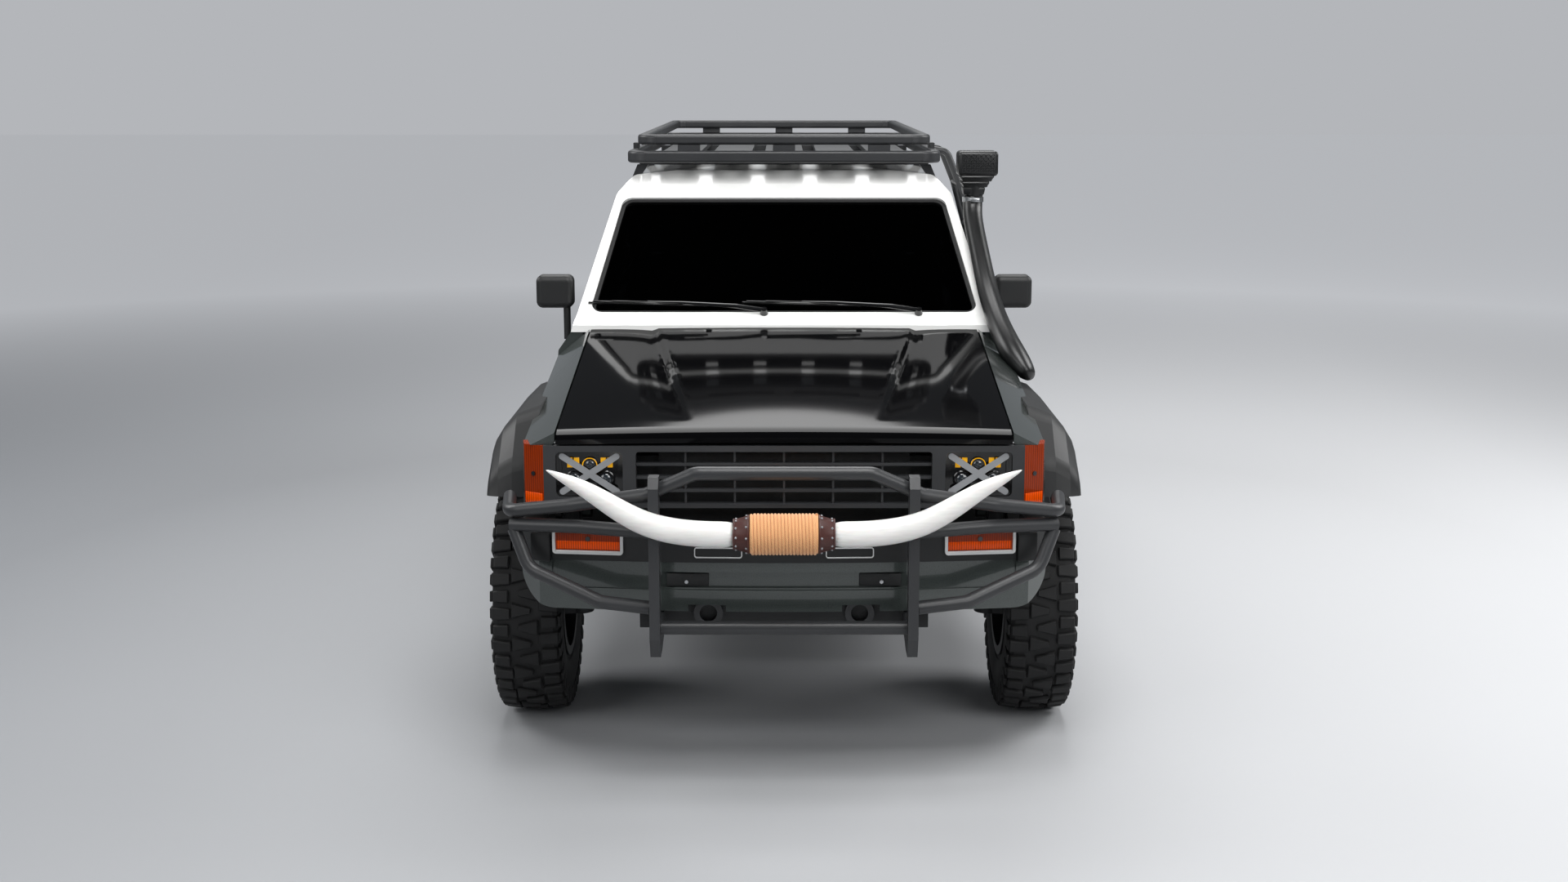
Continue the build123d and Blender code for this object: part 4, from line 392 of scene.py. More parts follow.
def smooth_piece(piece, levels):
    """Rounds a cage with a subdivision surface."""
    rounding = piece.modifiers.new("Rounding", "SUBSURF")
    rounding.levels = levels
    rounding.render_levels = levels
    return piece


def block(bm, centre, size, ease=0.0, turn=None, segments=2):
    """Box with eased edges; returns its vertices."""
    place = Matrix.Translation(centre) @ (turn or Matrix.Identity(4)) @ Matrix.Diagonal((*size, 1))
    verts = bmesh.ops.create_cube(bm, size=1, matrix=place)["verts"]
    if ease:
        edges = list({edge for vert in verts for edge in vert.link_edges})
        made = bmesh.ops.bevel(
            bm,
            geom=edges,
            offset=ease,
            affect="EDGES",
            segments=segments,
            profile=0.5,
            material=-1,
            clamp_overlap=True,
        )
        verts = list({*made["verts"], *[vert for vert in verts if vert.is_valid]})
    return verts


def rod(bm, start, end, radius, end_radius=None, sides=24):
    """Round or tapered bar between two points."""
    start, end = Vector(start), Vector(end)
    along = end - start
    place = Matrix.Translation((start + end) / 2) @ along.to_track_quat("Z", "Y").to_matrix().to_4x4()
    return bmesh.ops.create_cone(
        bm,
        cap_ends=True,
        segments=sides,
        radius1=radius,
        radius2=radius if end_radius is None else end_radius,
        depth=along.length,
        matrix=place,
    )["verts"]


def turned(bm, profile, origin, axis, steps=48, closed=False):
    """Spins a line of (along, out) points round an axis."""
    place = Matrix.Translation(origin) @ Vector(axis).to_track_quat("Z", "Y").to_matrix().to_4x4()
    verts = [bm.verts.new(place @ Vector((out, 0, along))) for along, out in profile]
    pairs = list(zip(verts, verts[1:]))
    if closed:
        pairs.append((verts[-1], verts[0]))
    edges = [bm.edges.new(pair) for pair in pairs]
    line = verts + edges
    bmesh.ops.spin(bm, geom=line, cent=origin, axis=axis, angle=math.tau, steps=steps, use_merge=True)
    bmesh.ops.remove_doubles(bm, verts=bm.verts, dist=1e-6)


def lofted(bm, stations, sides=16):
    """Bridges rings set square to their line; a station is (point, width, depth)."""
    points = [Vector(point) for point, _, _ in stations]
    loops = []
    for index, (_, width, depth) in enumerate(stations):
        along = points[min(index + 1, len(points) - 1)] - points[max(index - 1, 0)]
        across = Vector((0, 1, 0)).cross(along).normalized()
        deep = along.cross(across).normalized()
        turn = Matrix((across, deep, along.normalized())).transposed().to_4x4()
        place = Matrix.Translation(points[index]) @ turn @ Matrix.Diagonal((width, depth, 1, 1))
        ring = bmesh.ops.create_circle(bm, cap_ends=False, radius=1, segments=sides, matrix=place)["verts"]
        loops.append(list({edge for vert in ring for edge in vert.link_edges}))
    for near, far in zip(loops, loops[1:]):
        bmesh.ops.bridge_loops(bm, edges=near + far)
    for end in (loops[0], loops[-1]):
        bmesh.ops.edgeloop_fill(bm, edges=end)


def ring_frame(bm, corners, corner_radius, width, depth, place, segments=6):
    """Flat frame of a width and depth inside a rounded outline of four corners."""
    others = set(bm.faces)
    verts = bmesh.ops.create_grid(bm, x_segments=1, y_segments=1, size=1)["verts"]
    middle = sum(y for _, y in corners) / 4
    for vert in verts:
        right, upper = vert.co.x > 0, vert.co.y > 0
        x, y = next(spot for spot in corners if (spot[0] > 0, spot[1] > middle) == (right, upper))
        vert.co = place @ Vector((x, y, 0))
    bmesh.ops.bevel(
        bm, geom=verts, offset=corner_radius, affect="VERTICES", segments=segments, profile=0.5, material=-1
    )
    face = next(made for made in bm.faces if made not in others)
    rim = bmesh.ops.inset_region(bm, faces=[face], thickness=width, use_boundary=True, use_even_offset=True)
    bmesh.ops.delete(bm, geom=[face], context="FACES_ONLY")
    bmesh.ops.solidify(bm, geom=rim["faces"], thickness=depth)


def whole(bm):
    """All that a bmesh holds."""
    return [*bm.verts, *bm.edges, *bm.faces]


def mirrored(bm):
    """Copies all of a bmesh to the vehicle's other side."""
    made = bmesh.ops.duplicate(bm, geom=whole(bm))["geom"]
    verts = [item for item in made if isinstance(item, bmesh.types.BMVert)]
    bmesh.ops.scale(bm, vec=(-1, 1, 1), verts=verts)


def tread_block(bm, x_range, arc, taper, angle, height, radius, crown):
    """One tread block at the top of a wheel at the origin, then turned to its angle."""
    middle = (x_range[0] + x_range[1]) / 2
    length = x_range[1] - x_range[0]
    verts = block(bm, (middle, 0, radius - height / 2), (length, arc, height), 3 * MM, segments=1)
    for vert in verts:
        share = (vert.co.x - x_range[0]) / length
        vert.co.y *= taper[0] + (taper[1] - taper[0]) * share
        lift = (vert.co.z - radius + height) / height
        vert.co.y *= 1.06 - 0.14 * lift
        vert.co.z -= crown * (vert.co.x / 0.095) ** 2
    bmesh.ops.rotate(bm, verts=verts, cent=(0, 0, 0), matrix=Matrix.Rotation(angle, 3, "X"))


# Tyre's half section from the tread to the bead, in mm in from its side and down from the carcass's top
SIDEWALL = ((24, 4), (10, 14), (4, 40), (2, 86), (5, 130), (9, 150), (12, 152))
BEAD_INSET = 15.4 * MM
TREAD_BLOCKS = (  # reach across and length round in mm, share of it at both ends, place in pitches
    ((46, 106), 44, (0.8, 1.0), 0),
    ((52, 101), 42, (1.0, 0.85), 1),
    ((-106, -46), 44, (1.0, 0.8), 0.5),
    ((-101, -52), 42, (0.85, 1.0), 1.5),
    ((-42, 20), 50, (1.05, 0.35), 0.3),
    ((-20, 42), 50, (0.35, 1.05), 1.3),
)


class VEHICLE_OT_tyres(bpy.types.Operator):
    """Mud-terrain tyres: a carcass with staggered shoulder blocks, wedge blocks and side lugs"""

    bl_idname = "vehicle.tyres"
    bl_label = "Tyres"

    def execute(self, context):
        sizes = context.scene.vehicle_sizes
        pitch = math.tau / sizes.lug_pitches
        for wheel in WHEELS:
            low, high, centre = node_box(f"tyre_{wheel}")
            radius, half = (high.z - low.z) / 2, (high.x - low.x) / 2
            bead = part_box(f"rim_{wheel}")[1].z - centre.z - 13 * MM
            base = radius - sizes.lug_height
            right = [(0, base + 2 * MM)]
            right += [(half - inset * MM, base - drop * MM) for inset, drop in SIDEWALL]
            right += [(half - BEAD_INSET, bead + 15 * MM), (half - BEAD_INSET, bead)]
            profile = right + [(-x, r) for x, r in reversed(right[1:])]
            bm = bmesh.new()
            for x_range, arc, taper, step in TREAD_BLOCKS:
                angle = step * pitch
                tread_block(bm, mm(*x_range), arc * MM, taper, angle, sizes.lug_height, radius, 8 * MM)
            for side, first in ((1, 0), (-1, 0.5)):
                for step in (first, first + 1):
                    middle = (side * (half - 5 * MM), 0, radius - 46 * MM)
                    verts = block(bm, middle, mm(10, 34, 52), 3 * MM)
                    turn = Matrix.Rotation(step * pitch, 3, "X")
                    bmesh.ops.rotate(bm, verts=verts, cent=(0, 0, 0), matrix=turn)
            repeats = sizes.lug_pitches // 2
            bmesh.ops.spin(
                bm,
                geom=whole(bm),
                cent=(0, 0, 0),
                axis=(1, 0, 0),
                angle=math.tau * (repeats - 1) / repeats,
                steps=repeats - 1,
                use_duplicate=True,
            )
            turned(bm, profile, (0, 0, 0), (1, 0, 0), 96, closed=True)
            bmesh.ops.translate(bm, verts=bm.verts, vec=centre)
            tyre = finish_piece(bm, f"mud_tyre_{wheel}", "rubber", f"wheel_{wheel}", 30)
            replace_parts(tyre, f"tyre_{wheel}")
        return {"FINISHED"}


HUB_CAP = ((0, 52), (10, 50), (14, 44), (15, 30), (24, 28), (26, 24), (26, 0))  # mm along the axle and out


class VEHICLE_OT_wheels(bpy.types.Operator):
    """Wheel nuts, hub locks and tyre valves"""

    bl_idname = "vehicle.wheels"
    bl_label = "Wheel fittings"

    def execute(self, context):
        sizes = context.scene.vehicle_sizes
        for wheel in WHEELS:
            centre = node_box(f"rim_{wheel}")[2]
            side = 1 if centre.x > 0 else -1
            face_x = centre.x + side * 24 * MM
            hub = node_box("rear_axle")[1].x if "rear" in wheel else node_box("knuckle_left")[1].x
            bm = bmesh.new()
            for nut in range(sizes.nut_count):
                angle = math.tau * nut / sizes.nut_count
                y = centre.y + sizes.nut_circle * math.sin(angle)
                z = centre.z + sizes.nut_circle * math.cos(angle)
                root, neck, tip = (Vector((face_x + side * out * MM, y, z)) for out in (-1, 16, 22))
                rod(bm, root, neck, 11 * MM, 10.4 * MM, 6)
                rod(bm, neck, tip, 8 * MM, 4 * MM, 12)
            valve = Vector((face_x + side * 6 * MM, centre.y + 0.145, centre.z - 0.062))
            rod(bm, valve, valve + Vector((side * 34 * MM, 0.012, 0)), 5 * MM, 4 * MM, 12)
            finish_piece(bm, f"wheel_nuts_{wheel}", "bright", f"wheel_{wheel}")
            bm = bmesh.new()
            reach = abs(hub) - abs(face_x)
            cap = [(reach + along * MM, out * MM) for along, out in HUB_CAP]
            turned(bm, cap, (face_x, centre.y, centre.z), (side, 0, 0))
            dial_x = face_x + side * (reach + 28 * MM)
            block(bm, (dial_x, centre.y, centre.z), mm(7, 9, 40), 2 * MM)
            finish_piece(bm, f"hub_cap_{wheel}", "cast", f"wheel_{wheel}")
        return {"FINISHED"}


HORN_LINE = (  # x in metres, rise over the root and radius in mm
    (0.195, -1, 38),
    (0.262, 2, 38),
    (0.330, 11, 37.5),
    (0.400, 31, 35.5),
    (0.465, 67, 32.5),
    (0.525, 107, 28),
    (0.580, 141, 22),
    (0.630, 166, 13),
)


class VEHICLE_OT_horns(bpy.types.Operator):
    """Horns with riveted leather collars and a rope wrap between them"""

    bl_idname = "vehicle.horns"
    bl_label = "Horns"

    def execute(self, context):
        _, high, middle = node_box("horns")
        wrap_low, wrap_high, wrap = node_box("horn_wrap")
        collar_low, collar_high, _ = node_box("horn_collars")
        root_z = wrap.z
        stations = [  # (x, height over the root, radius) along the left horn
            (collar_high.x - 20 * MM, 0, 38 * MM),
            *[(x, *mm(rise, radius)) for x, rise, radius in HORN_LINE],
            (high.x, high.z - root_z, 2 * MM),
        ]
        bm = bmesh.new()
        lofted(bm, [((x, middle.y, root_z + rise), radius, radius) for x, rise, radius in stations], 20)
        mirrored(bm)
        horns = smooth_piece(finish_piece(bm, "polished_horns", "horn", "chassis", 180), 2)
        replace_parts(horns, "horns")

        rope = context.scene.vehicle_sizes.rope_diameter / 2
        wrap_radius = (wrap_high.z - wrap_low.z) / 2
        length = wrap_high.x - wrap_low.x
        turns = int(length / (2 * rope))
        steps = 36
        bm = bmesh.new()
        start = Vector((wrap_low.x + rope, wrap.y, wrap.z + wrap_radius - rope))
        place = Matrix.Translation(start) @ Matrix.Rotation(math.pi / 2, 4, "X")
        ring = bmesh.ops.create_circle(bm, segments=10, radius=rope, matrix=place)["verts"]
        edges = list({edge for vert in ring for edge in vert.link_edges})
        made = bmesh.ops.spin(
            bm,
            geom=ring + edges,
            cent=wrap,
            axis=(1, 0, 0),
            dvec=((length - 2 * rope) / (turns * steps), 0, 0),
            angle=math.tau * turns,
            steps=turns * steps,
        )["geom_last"]
        bmesh.ops.edgeloop_fill(bm, edges=edges)
        bmesh.ops.edgeloop_fill(bm, edges=[item for item in made if isinstance(item, bmesh.types.BMEdge)])
        core = Vector((length / 2 - 1 * MM, 0, 0))
        rod(bm, wrap - core, wrap + core, wrap_radius - rope, sides=48)
        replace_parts(finish_piece(bm, "rope_wrap", "rope", "chassis", 60), "horn_wrap")

        bm = bmesh.new()
        collar_radius = (collar_high.z - collar_low.z) / 2
        root = 42 * MM
        reach = collar_high.x - wrap_high.x
        turned(
            bm,
            [
                (0, 30 * MM),
                (0, collar_radius - 3 * MM),
                (2 * MM, collar_radius),
                (5 * MM, collar_radius),
                (7 * MM, collar_radius - 3 * MM),
                (reach - 7 * MM, root + 1 * MM),
                (reach - 5 * MM, root + 3 * MM),
                (reach - 1 * MM, root + 3 * MM),
                (reach, root),
                (reach, 34 * MM),
            ],
            (wrap_high.x, wrap.y, wrap.z),
            (1, 0, 0),
        )
        mirrored(bm)
        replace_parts(finish_piece(bm, "leather_collars", "leather", "chassis", 50), "horn_collars")

        bm = bmesh.new()
        rivets = 10
        for row, along in enumerate((9 * MM, reach - 9 * MM)):
            out = collar_radius - 3.4 * MM if row == 0 else root + 1.6 * MM
            for rivet in range(rivets):
                angle = math.tau * (rivet + 0.5) / rivets
                y, z = wrap.y + out * math.sin(angle), wrap.z + out * math.cos(angle)
                place = Matrix.Translation((wrap_high.x + along, y, z))
                bmesh.ops.create_uvsphere(bm, u_segments=10, v_segments=6, radius=3.6 * MM, matrix=place)
        mirrored(bm)
        finish_piece(bm, "collar_rivets", "strap", "chassis")
        return {"FINISHED"}


HOOD_NOSE_Z, HOOD_COWL_Z = 1.067, 1.226  # heights of the hood's side edges
HOOD_HALF = 0.686
CREASE_NOSE, CREASE_COWL = 0.282, 0.468  # half widths of the raised middle
CREASE_DEPTH, CREASE_WALL, CREASE_FADE = 15 * MM, 22 * MM, 75 * MM
NOSE_LENGTH, NOSE_DROP = 50 * MM, 15 * MM


def hood_height(x, y, nose_y, cowl_y):
    """Height of the hood's skin: nearly flat at the cowl, crowned in the middle, rolled over at the nose."""
    along = (y - nose_y) / (cowl_y - nose_y)
    edge = HOOD_NOSE_Z + (HOOD_COWL_Z - HOOD_NOSE_Z) * along
    crown = 6 * MM + 16 * MM * math.sin(math.pi * along)
    past = abs(x) - CREASE_NOSE - (CREASE_COWL - CREASE_NOSE) * along
    depth = CREASE_DEPTH * max(0.0, min(1.0, (along - 0.10) / 0.45)) * (1 - 0.45 * along)
    step = max(0.0, min(1.0, -past / CREASE_WALL))
    valley = math.exp(-max(past, 0.0) / CREASE_FADE) * (1 - step * step * (3 - 2 * step))
    nose = max(0.0, NOSE_LENGTH - (y - nose_y)) / NOSE_LENGTH
    return edge + crown * (1 - (x / HOOD_HALF) ** 2) - depth * valley - NOSE_DROP * nose**2


class VEHICLE_OT_hood(bpy.types.Operator):
    """Hood skin with creases that set off its middle and a rolled nose, and the washer nozzles"""

    bl_idname = "vehicle.hood"
    bl_label = "Hood"

    def execute(self, context):
        low, high, _ = node_box("hood")
        bm = bmesh.new()
        bmesh.ops.create_grid(bm, x_segments=120, y_segments=70, size=1)
        for vert in bm.verts:
            share = (vert.co.y + 1) / 2
            y = low.y + (high.y - low.y) * share**1.2
            x = vert.co.x * (high.x - 8 * MM * (1 - share))
            vert.co = (x, y, hood_height(x, y, low.y, high.y))
        bmesh.ops.solidify(bm, geom=list(bm.faces), thickness=14 * MM)
        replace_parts(finish_piece(bm, "hood_skin", "hood", "hood", 50), "hood")
        bm = bmesh.new()
        for side in (-1, 1):
            x, y = side * 0.266, high.y - 34 * MM
            z = hood_height(x, y, low.y, high.y) + 3 * MM
            block(bm, (x, y, z), mm(20, 16, 9), 3 * MM)
        finish_piece(bm, "washer_nozzles", "plastic", "hood")
        return {"FINISHED"}


class VEHICLE_OT_headlamps(bpy.types.Operator):
    """Square lamp units with yellow diode strips, three lenses and their bezels"""

    bl_idname = "vehicle.headlamps"
    bl_label = "Headlamps"

    def execute(self, context):
        low, high, _ = node_box("headlamps")
        face_y = low.y
        lamp_z = (low.z + high.z) / 2
        lamp_x = high.x - 0.1
        floor_y = face_y + 13 * MM
        strips, bowls, lenses, rings, bezels = (bmesh.new() for _ in range(5))
        for outward in (-60, -40, 40, 60):
            middle = (lamp_x + outward * MM, floor_y, lamp_z + 32 * MM)
            block(strips, middle, mm(16, 6, 30), 1 * MM)
        for outward, rise, radius in ((0, 25, 21), (-46, -20, 26), (46, -20, 26)):
            centre = Vector((lamp_x + outward * MM, floor_y, lamp_z + rise * MM))
            lens = radius * MM * 0.82
            rim = radius * MM
            wall = rim + 3 * MM
            bowl = [(2 * MM, lens * 0.9), (4 * MM, lens), (9 * MM, rim), (7 * MM, wall), (0, wall)]
            turned(bowls, bowl, centre, (0, -1, 0), 40)
            dome = [(2 * MM, lens)] + [
                (2 * MM + lens * 0.5 * math.sin(step * math.pi / 12), lens * math.cos(step * math.pi / 12))
                for step in range(1, 6)
            ]
            turned(lenses, [*dome, (2 * MM + lens * 0.5, 0)], centre, (0, -1, 0), 40)
        turned(
            rings,
            [(9 * MM, 20 * MM), (10.5 * MM, 21.5 * MM), (9 * MM, 23 * MM), (7 * MM, 21.5 * MM)],
            (lamp_x, floor_y, lamp_z + 25 * MM),
            (0, -1, 0),
            40,
            closed=True,
        )
        place = Matrix.Translation((lamp_x, face_y - 2 * MM, lamp_z)) @ Matrix.Rotation(math.pi / 2, 4, "X")
        ring_frame(bezels, rectangle(0.198, 0.136), 15 * MM, 9 * MM, 5 * MM, place)
        for bm, name, finish in (
            (strips, "lamp_strips", "yellow"),
            (bowls, "lamp_bowls", "lamp_black"),
            (lenses, "lamp_lenses", "lens"),
            (rings, "lamp_rings", "yellow"),
            (bezels, "lamp_bezels", "lamp_black"),
        ):
            mirrored(bm)
            finish_piece(bm, name, finish, "chassis")
        return {"FINISHED"}


def rectangle(width, height):
    """Corners of a rectangle about its middle."""
    x, y = width / 2, height / 2
    return [(-x, -y), (x, -y), (x, y), (-x, y)]


BUMPER_BOW = 5.136  # radius of the bumper's face, seen from above


class VEHICLE_OT_bumper_trim(bpy.types.Operator):
    """Turn lamp frames and screws, end pads, slots, and the bare plate holder"""

    bl_idname = "vehicle.bumper_trim"
    bl_label = "Bumper trim"

    def execute(self, context):
        face_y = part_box("front_bumper")[0].y
        valance_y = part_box("front_valance")[0].y
        upright = Matrix.Rotation(math.pi / 2, 4, "X")
        frames, glow, screws, pads, slots, holder, bolts = (bmesh.new() for _ in range(7))

        def on_face(x, z, proud):
            """Place on the bowed face of the bumper, turned with it; z points out of the face."""
            y = face_y + BUMPER_BOW - math.sqrt(BUMPER_BOW**2 - x**2) - proud
            turn = Matrix.Rotation(math.asin(x / BUMPER_BOW), 4, "Z")
            return Matrix.Translation((x, y, z)) @ turn @ upright

        lamp = on_face(0.580, 0.763, 3 * MM)
        ring_frame(frames, rectangle(0.212, 0.080), 10 * MM, 8 * MM, -9 * MM, lamp)
        lamp_turn = Matrix.Rotation(math.asin(0.580 / BUMPER_BOW), 4, "Z")
        block(frames, lamp @ Vector((0, -34 * MM, 1 * MM)), (0.196, 8 * MM, 8 * MM), 2 * MM, lamp_turn)
        # Painted highlight: bright amber strips in the turn and corner lamps stand in for the reflectors'
        # shine behind the lenses.
        block(glow, lamp @ Vector((0, -14 * MM, 0)), (0.190, 3 * MM, 24 * MM), 1 * MM, lamp_turn)
        corner = Matrix.Translation((0.748, -1.9765, 0.0)) @ Matrix.Rotation(math.atan2(40, 61.7), 4, "Z")
        corner_turn = corner.to_3x3().to_4x4()
        block(glow, corner @ Vector((0, 0, 0.872)), mm(66, 3, 34), 1 * MM, corner_turn)
        rod(screws, corner @ Vector((0, 3 * MM, 0.947)), corner @ Vector((0, -3 * MM, 0.947)), 7 * MM)
        rod(screws, lamp @ Vector((0, 6 * MM, -3 * MM)), lamp @ Vector((0, 6 * MM, 3 * MM)), 7 * MM)
        pad_turn = Matrix.Rotation(0.25, 4, "Z")
        block(pads, (0.722, face_y + 50 * MM, 0.740), (62 * MM, 18 * MM, 0.086), 5 * MM, pad_turn)
        ring_frame(slots, rectangle(0.142, 0.032), 8 * MM, 3 * MM, -4 * MM, on_face(0.194, 0.733, 0))
        holder_y = valance_y + 22 * MM
        block(holder, (0.285, holder_y, 0.647), (0.125, 8 * MM, 0.038), 2 * MM)
        rod(bolts, (0.289, holder_y, 0.641), (0.289, holder_y - 9 * MM, 0.641), 7 * MM, 6 * MM, 6)
        for bm, name, finish in (
            (frames, "turn_lamp_frames", "pale"),
            (glow, "turn_lamp_painted_highlights", "glow"),
            (screws, "turn_lamp_screws", "lamp_black"),
            (pads, "bumper_end_pads", "plastic"),
            (slots, "bumper_slots", "pale"),
            (holder, "plate_brackets", "chassis"),
            (bolts, "plate_bolts", "bright"),
        ):
            mirrored(bm)
            finish_piece(bm, name, finish, "chassis")
        return {"FINISHED"}


SNORKEL_LINE = (  # point on the pipe's middle in metres, half width and half depth in mm
    ((0.850, -1.086, 1.094), 16, 30),
    ((0.838, -1.070, 1.108), 32, 44),
    ((0.808, -1.030, 1.146), 44, 52),
    ((0.782, -0.985, 1.188), 45, 50),
    ((0.755, -0.887, 1.256), 40, 44),
    ((0.742, -0.790, 1.312), 38, 40),
    ((0.732, -0.695, 1.366), 37, 38),
    ((0.717, -0.566, 1.480), 36, 37),
    ((0.702, -0.444, 1.588), 36, 37),
    ((0.705, -0.410, 1.636), 37, 37),
)


class VEHICLE_OT_snorkel(bpy.types.Operator):
    """Moulded intake pipe on the left pillar, with a broad foot, a clamp and a ram head"""

    bl_idname = "vehicle.snorkel"
    bl_label = "Snorkel"

    def execute(self, context):
        high = node_box("snorkel")[1]
        top = Vector((0.706, -0.407, 1.664))
        head_x = 0.719
        bm = bmesh.new()
        stations = [(point, *mm(width, depth)) for point, width, depth in SNORKEL_LINE]
        lofted(bm, [*stations, ((top.x, top.y, top.z + 18 * MM), *mm(37, 37))], 20)
        pipe = smooth_piece(finish_piece(bm, "snorkel_pipe", "snorkel", "chassis", 180), 2)
        bm = bmesh.new()
        for rise, depth, low_width, high_width, shift in (
            (12, 30, 78, 84, 0),
            (40, 24, 92, 104, 5),
            (62, 24, 112, 126, 10),
        ):
            centre = (top.x + shift * MM, top.y, top.z + (rise + depth / 2) * MM)
            verts = block(bm, centre, (high_width * MM, high_width * 0.86 * MM, depth * MM), 7 * MM)
            for vert in verts:
                if vert.co.z < centre[2]:
                    vert.co.x = centre[0] + (vert.co.x - centre[0]) * low_width / high_width
                    vert.co.y = centre[1] + (vert.co.y - centre[1]) * low_width / high_width
        rod(bm, (top.x, top.y, top.z + 8 * MM), (head_x, top.y, top.z + 0.1), 36 * MM, 44 * MM)
        block(bm, (head_x, top.y, high.z - 47 * MM), (0.148, 0.116, 92 * MM), 14 * MM, segments=4)
        head = finish_piece(bm, "snorkel_head", "snorkel", "chassis")
        bm = bmesh.new()
        for row in range(-6, 7):
            for lean in (-1, 1):
                turn = Matrix.Rotation(lean * math.radians(45), 4, "Y")
                centre = (head_x + row * 18 * MM, low_face(top.y), high.z - 46 * MM)
                block(bm, centre, (3 * MM, 5 * MM, 0.1), 0, turn)
        trim_box(bm, (head_x - 60 * MM, head_x + 60 * MM), (high.z - 80 * MM, high.z - 12 * MM))
        finish_piece(bm, "snorkel_mesh", "plastic", "chassis")
        bm = bmesh.new()
        turned(
            bm,
            [(-9 * MM, 37 * MM), (-9 * MM, 39.5 * MM), (9 * MM, 39.5 * MM), (9 * MM, 37 * MM)],
            (top.x, top.y, top.z - 6 * MM),
            (0, 0, 1),
            closed=True,
        )
        block(bm, (top.x + 4 * MM, top.y - 43 * MM, top.z - 6 * MM), mm(34, 12, 14), 2 * MM)
        finish_piece(bm, "snorkel_clamp", "bright", "chassis")
        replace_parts(pipe, "snorkel")
        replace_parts(head, "snorkel")
        return {"FINISHED"}


def low_face(y):
    """Front of the ram head."""
    return y - 58 * MM


def trim_box(bm, x_range, z_range):
    """Cuts a bmesh back to a box seen from the front."""
    for point, normal in (
        ((x_range[0], 0, 0), (-1, 0, 0)),
        ((x_range[1], 0, 0), (1, 0, 0)),
        ((0, 0, z_range[0]), (0, 0, -1)),
        ((0, 0, z_range[1]), (0, 0, 1)),
    ):
        bmesh.ops.bisect_plane(bm, geom=whole(bm), plane_co=point, plane_no=normal, clear_outer=True)
        open_edges = [edge for edge in bm.edges if edge.is_boundary]
        bmesh.ops.holes_fill(bm, edges=open_edges, sides=0)


GLASS_BOTTOM, GLASS_TOP = Vector((0, -0.741, 1.276)), Vector((0, -0.317, 1.658))  # windshield's middle line
GLASS_BOTTOM_HALF, GLASS_TOP_HALF = 0.701, 0.606


def windshield_place():
    """Middle of the windshield's lower edge, with y up the glass and z out of it, and the glass's height."""
    rise = GLASS_TOP - GLASS_BOTTOM
    up = rise.normalized()
    across = Vector((1, 0, 0))
    turn = Matrix((across, up, across.cross(up))).transposed().to_4x4()
    return Matrix.Translation(GLASS_BOTTOM) @ turn, rise.length


class VEHICLE_OT_seals(bpy.types.Operator):
    """Rubber round the windshield"""

    bl_idname = "vehicle.seals"
    bl_label = "Window seals"

    def execute(self, context):
        width = context.scene.vehicle_sizes.gasket_width
        place, length = windshield_place()
        bm = bmesh.new()
        right = [(GLASS_BOTTOM_HALF, 0), (GLASS_TOP_HALF, length)]
        corners = right + [(-x, y) for x, y in reversed(right)]
        ring_frame(bm, corners, 40 * MM, width, 6 * MM, place @ Matrix.Translation((0, 0, -8 * MM)), 8)
        finish_piece(bm, "windshield_seal", "seal", "chassis")
        return {"FINISHED"}


class VEHICLE_OT_door_fittings(bpy.types.Operator):
    """Door handles, locks and mirror glass"""

    bl_idname = "vehicle.door_fittings"
    bl_label = "Door fittings"

    def execute(self, context):
        for name, side in SIDES:
            mirror_low, mirror_high, mirror_mid = node_box(f"mirror_{name}")
            bm = bmesh.new()
            block(bm, (side * 0.8155, 0.165, 1.062), (14 * MM, 0.150, 52 * MM), 6 * MM)
            block(bm, (side * 0.823, 0.160, 1.070), (14 * MM, 0.118, 26 * MM), 5 * MM, segments=3)
            finish_piece(bm, f"door_handle_{name}", "plastic", f"door_{name}")
            bm = bmesh.new()
            rod(bm, (side * 0.812, 0.215, 1.006), (side * 0.822, 0.215, 1.006), 9 * MM, 8 * MM)
            finish_piece(bm, f"door_lock_{name}", "bright", f"door_{name}")
            bm = bmesh.new()
            centre = (mirror_mid.x, mirror_high.y + 1 * MM, mirror_high.z - 60 * MM)
            block(bm, centre, (mirror_high.x - mirror_low.x - 16 * MM, 4 * MM, 0.104), 1.5 * MM)
            finish_piece(bm, f"mirror_glass_{name}", "mirror", f"door_{name}")
        return {"FINISHED"}


WIPER_ARM = (  # reach from the pivot in metres; rise, stand-off, half width and half depth in mm
    (0, -8, 20, 9, 5),
    (0.10, 8, 24, 8, 5),
    (0.30, 26, 22, 5, 4),
    (0.42, 36, 14, 4, 3),
)


class VEHICLE_OT_wipers(bpy.types.Operator):
    """Wiper arms and blades on the windshield"""

    bl_idname = "vehicle.wipers"
    bl_label = "Wipers"

    def execute(self, context):
        place, _ = windshield_place()
        turn = place.to_3x3().to_4x4()
        bm = bmesh.new()
        for pivot in (-0.072, 0.484):
            knuckle = place @ Vector((pivot, -8 * MM, 5 * MM))
            rod(bm, knuckle, place @ Vector((pivot, -8 * MM, 27 * MM)), 15 * MM, 11 * MM)
            stations = []
            for reach, rise, out, width, depth in WIPER_ARM:
                point = place @ Vector((pivot - reach, *mm(rise, out)))
                stations.append((point, *mm(width, depth)))
            lofted(bm, stations, 8)
            blade = Matrix.Rotation(math.radians(-2), 4, "Z")
            for height, breadth, deep, span in ((3, 6, 9, 0.43), (9, 10, 5, 0.40), (14, 8, 4, 0.26)):
                middle = place @ Vector((pivot - 0.42, 34 * MM, height * MM))
                block(bm, middle, (span, breadth * MM, deep * MM), 1 * MM, turn @ blade)
        wipers = finish_piece(bm, "wiper_arms", "lamp_black", "chassis")
        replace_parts(wipers, "wipers")
        return {"FINISHED"}


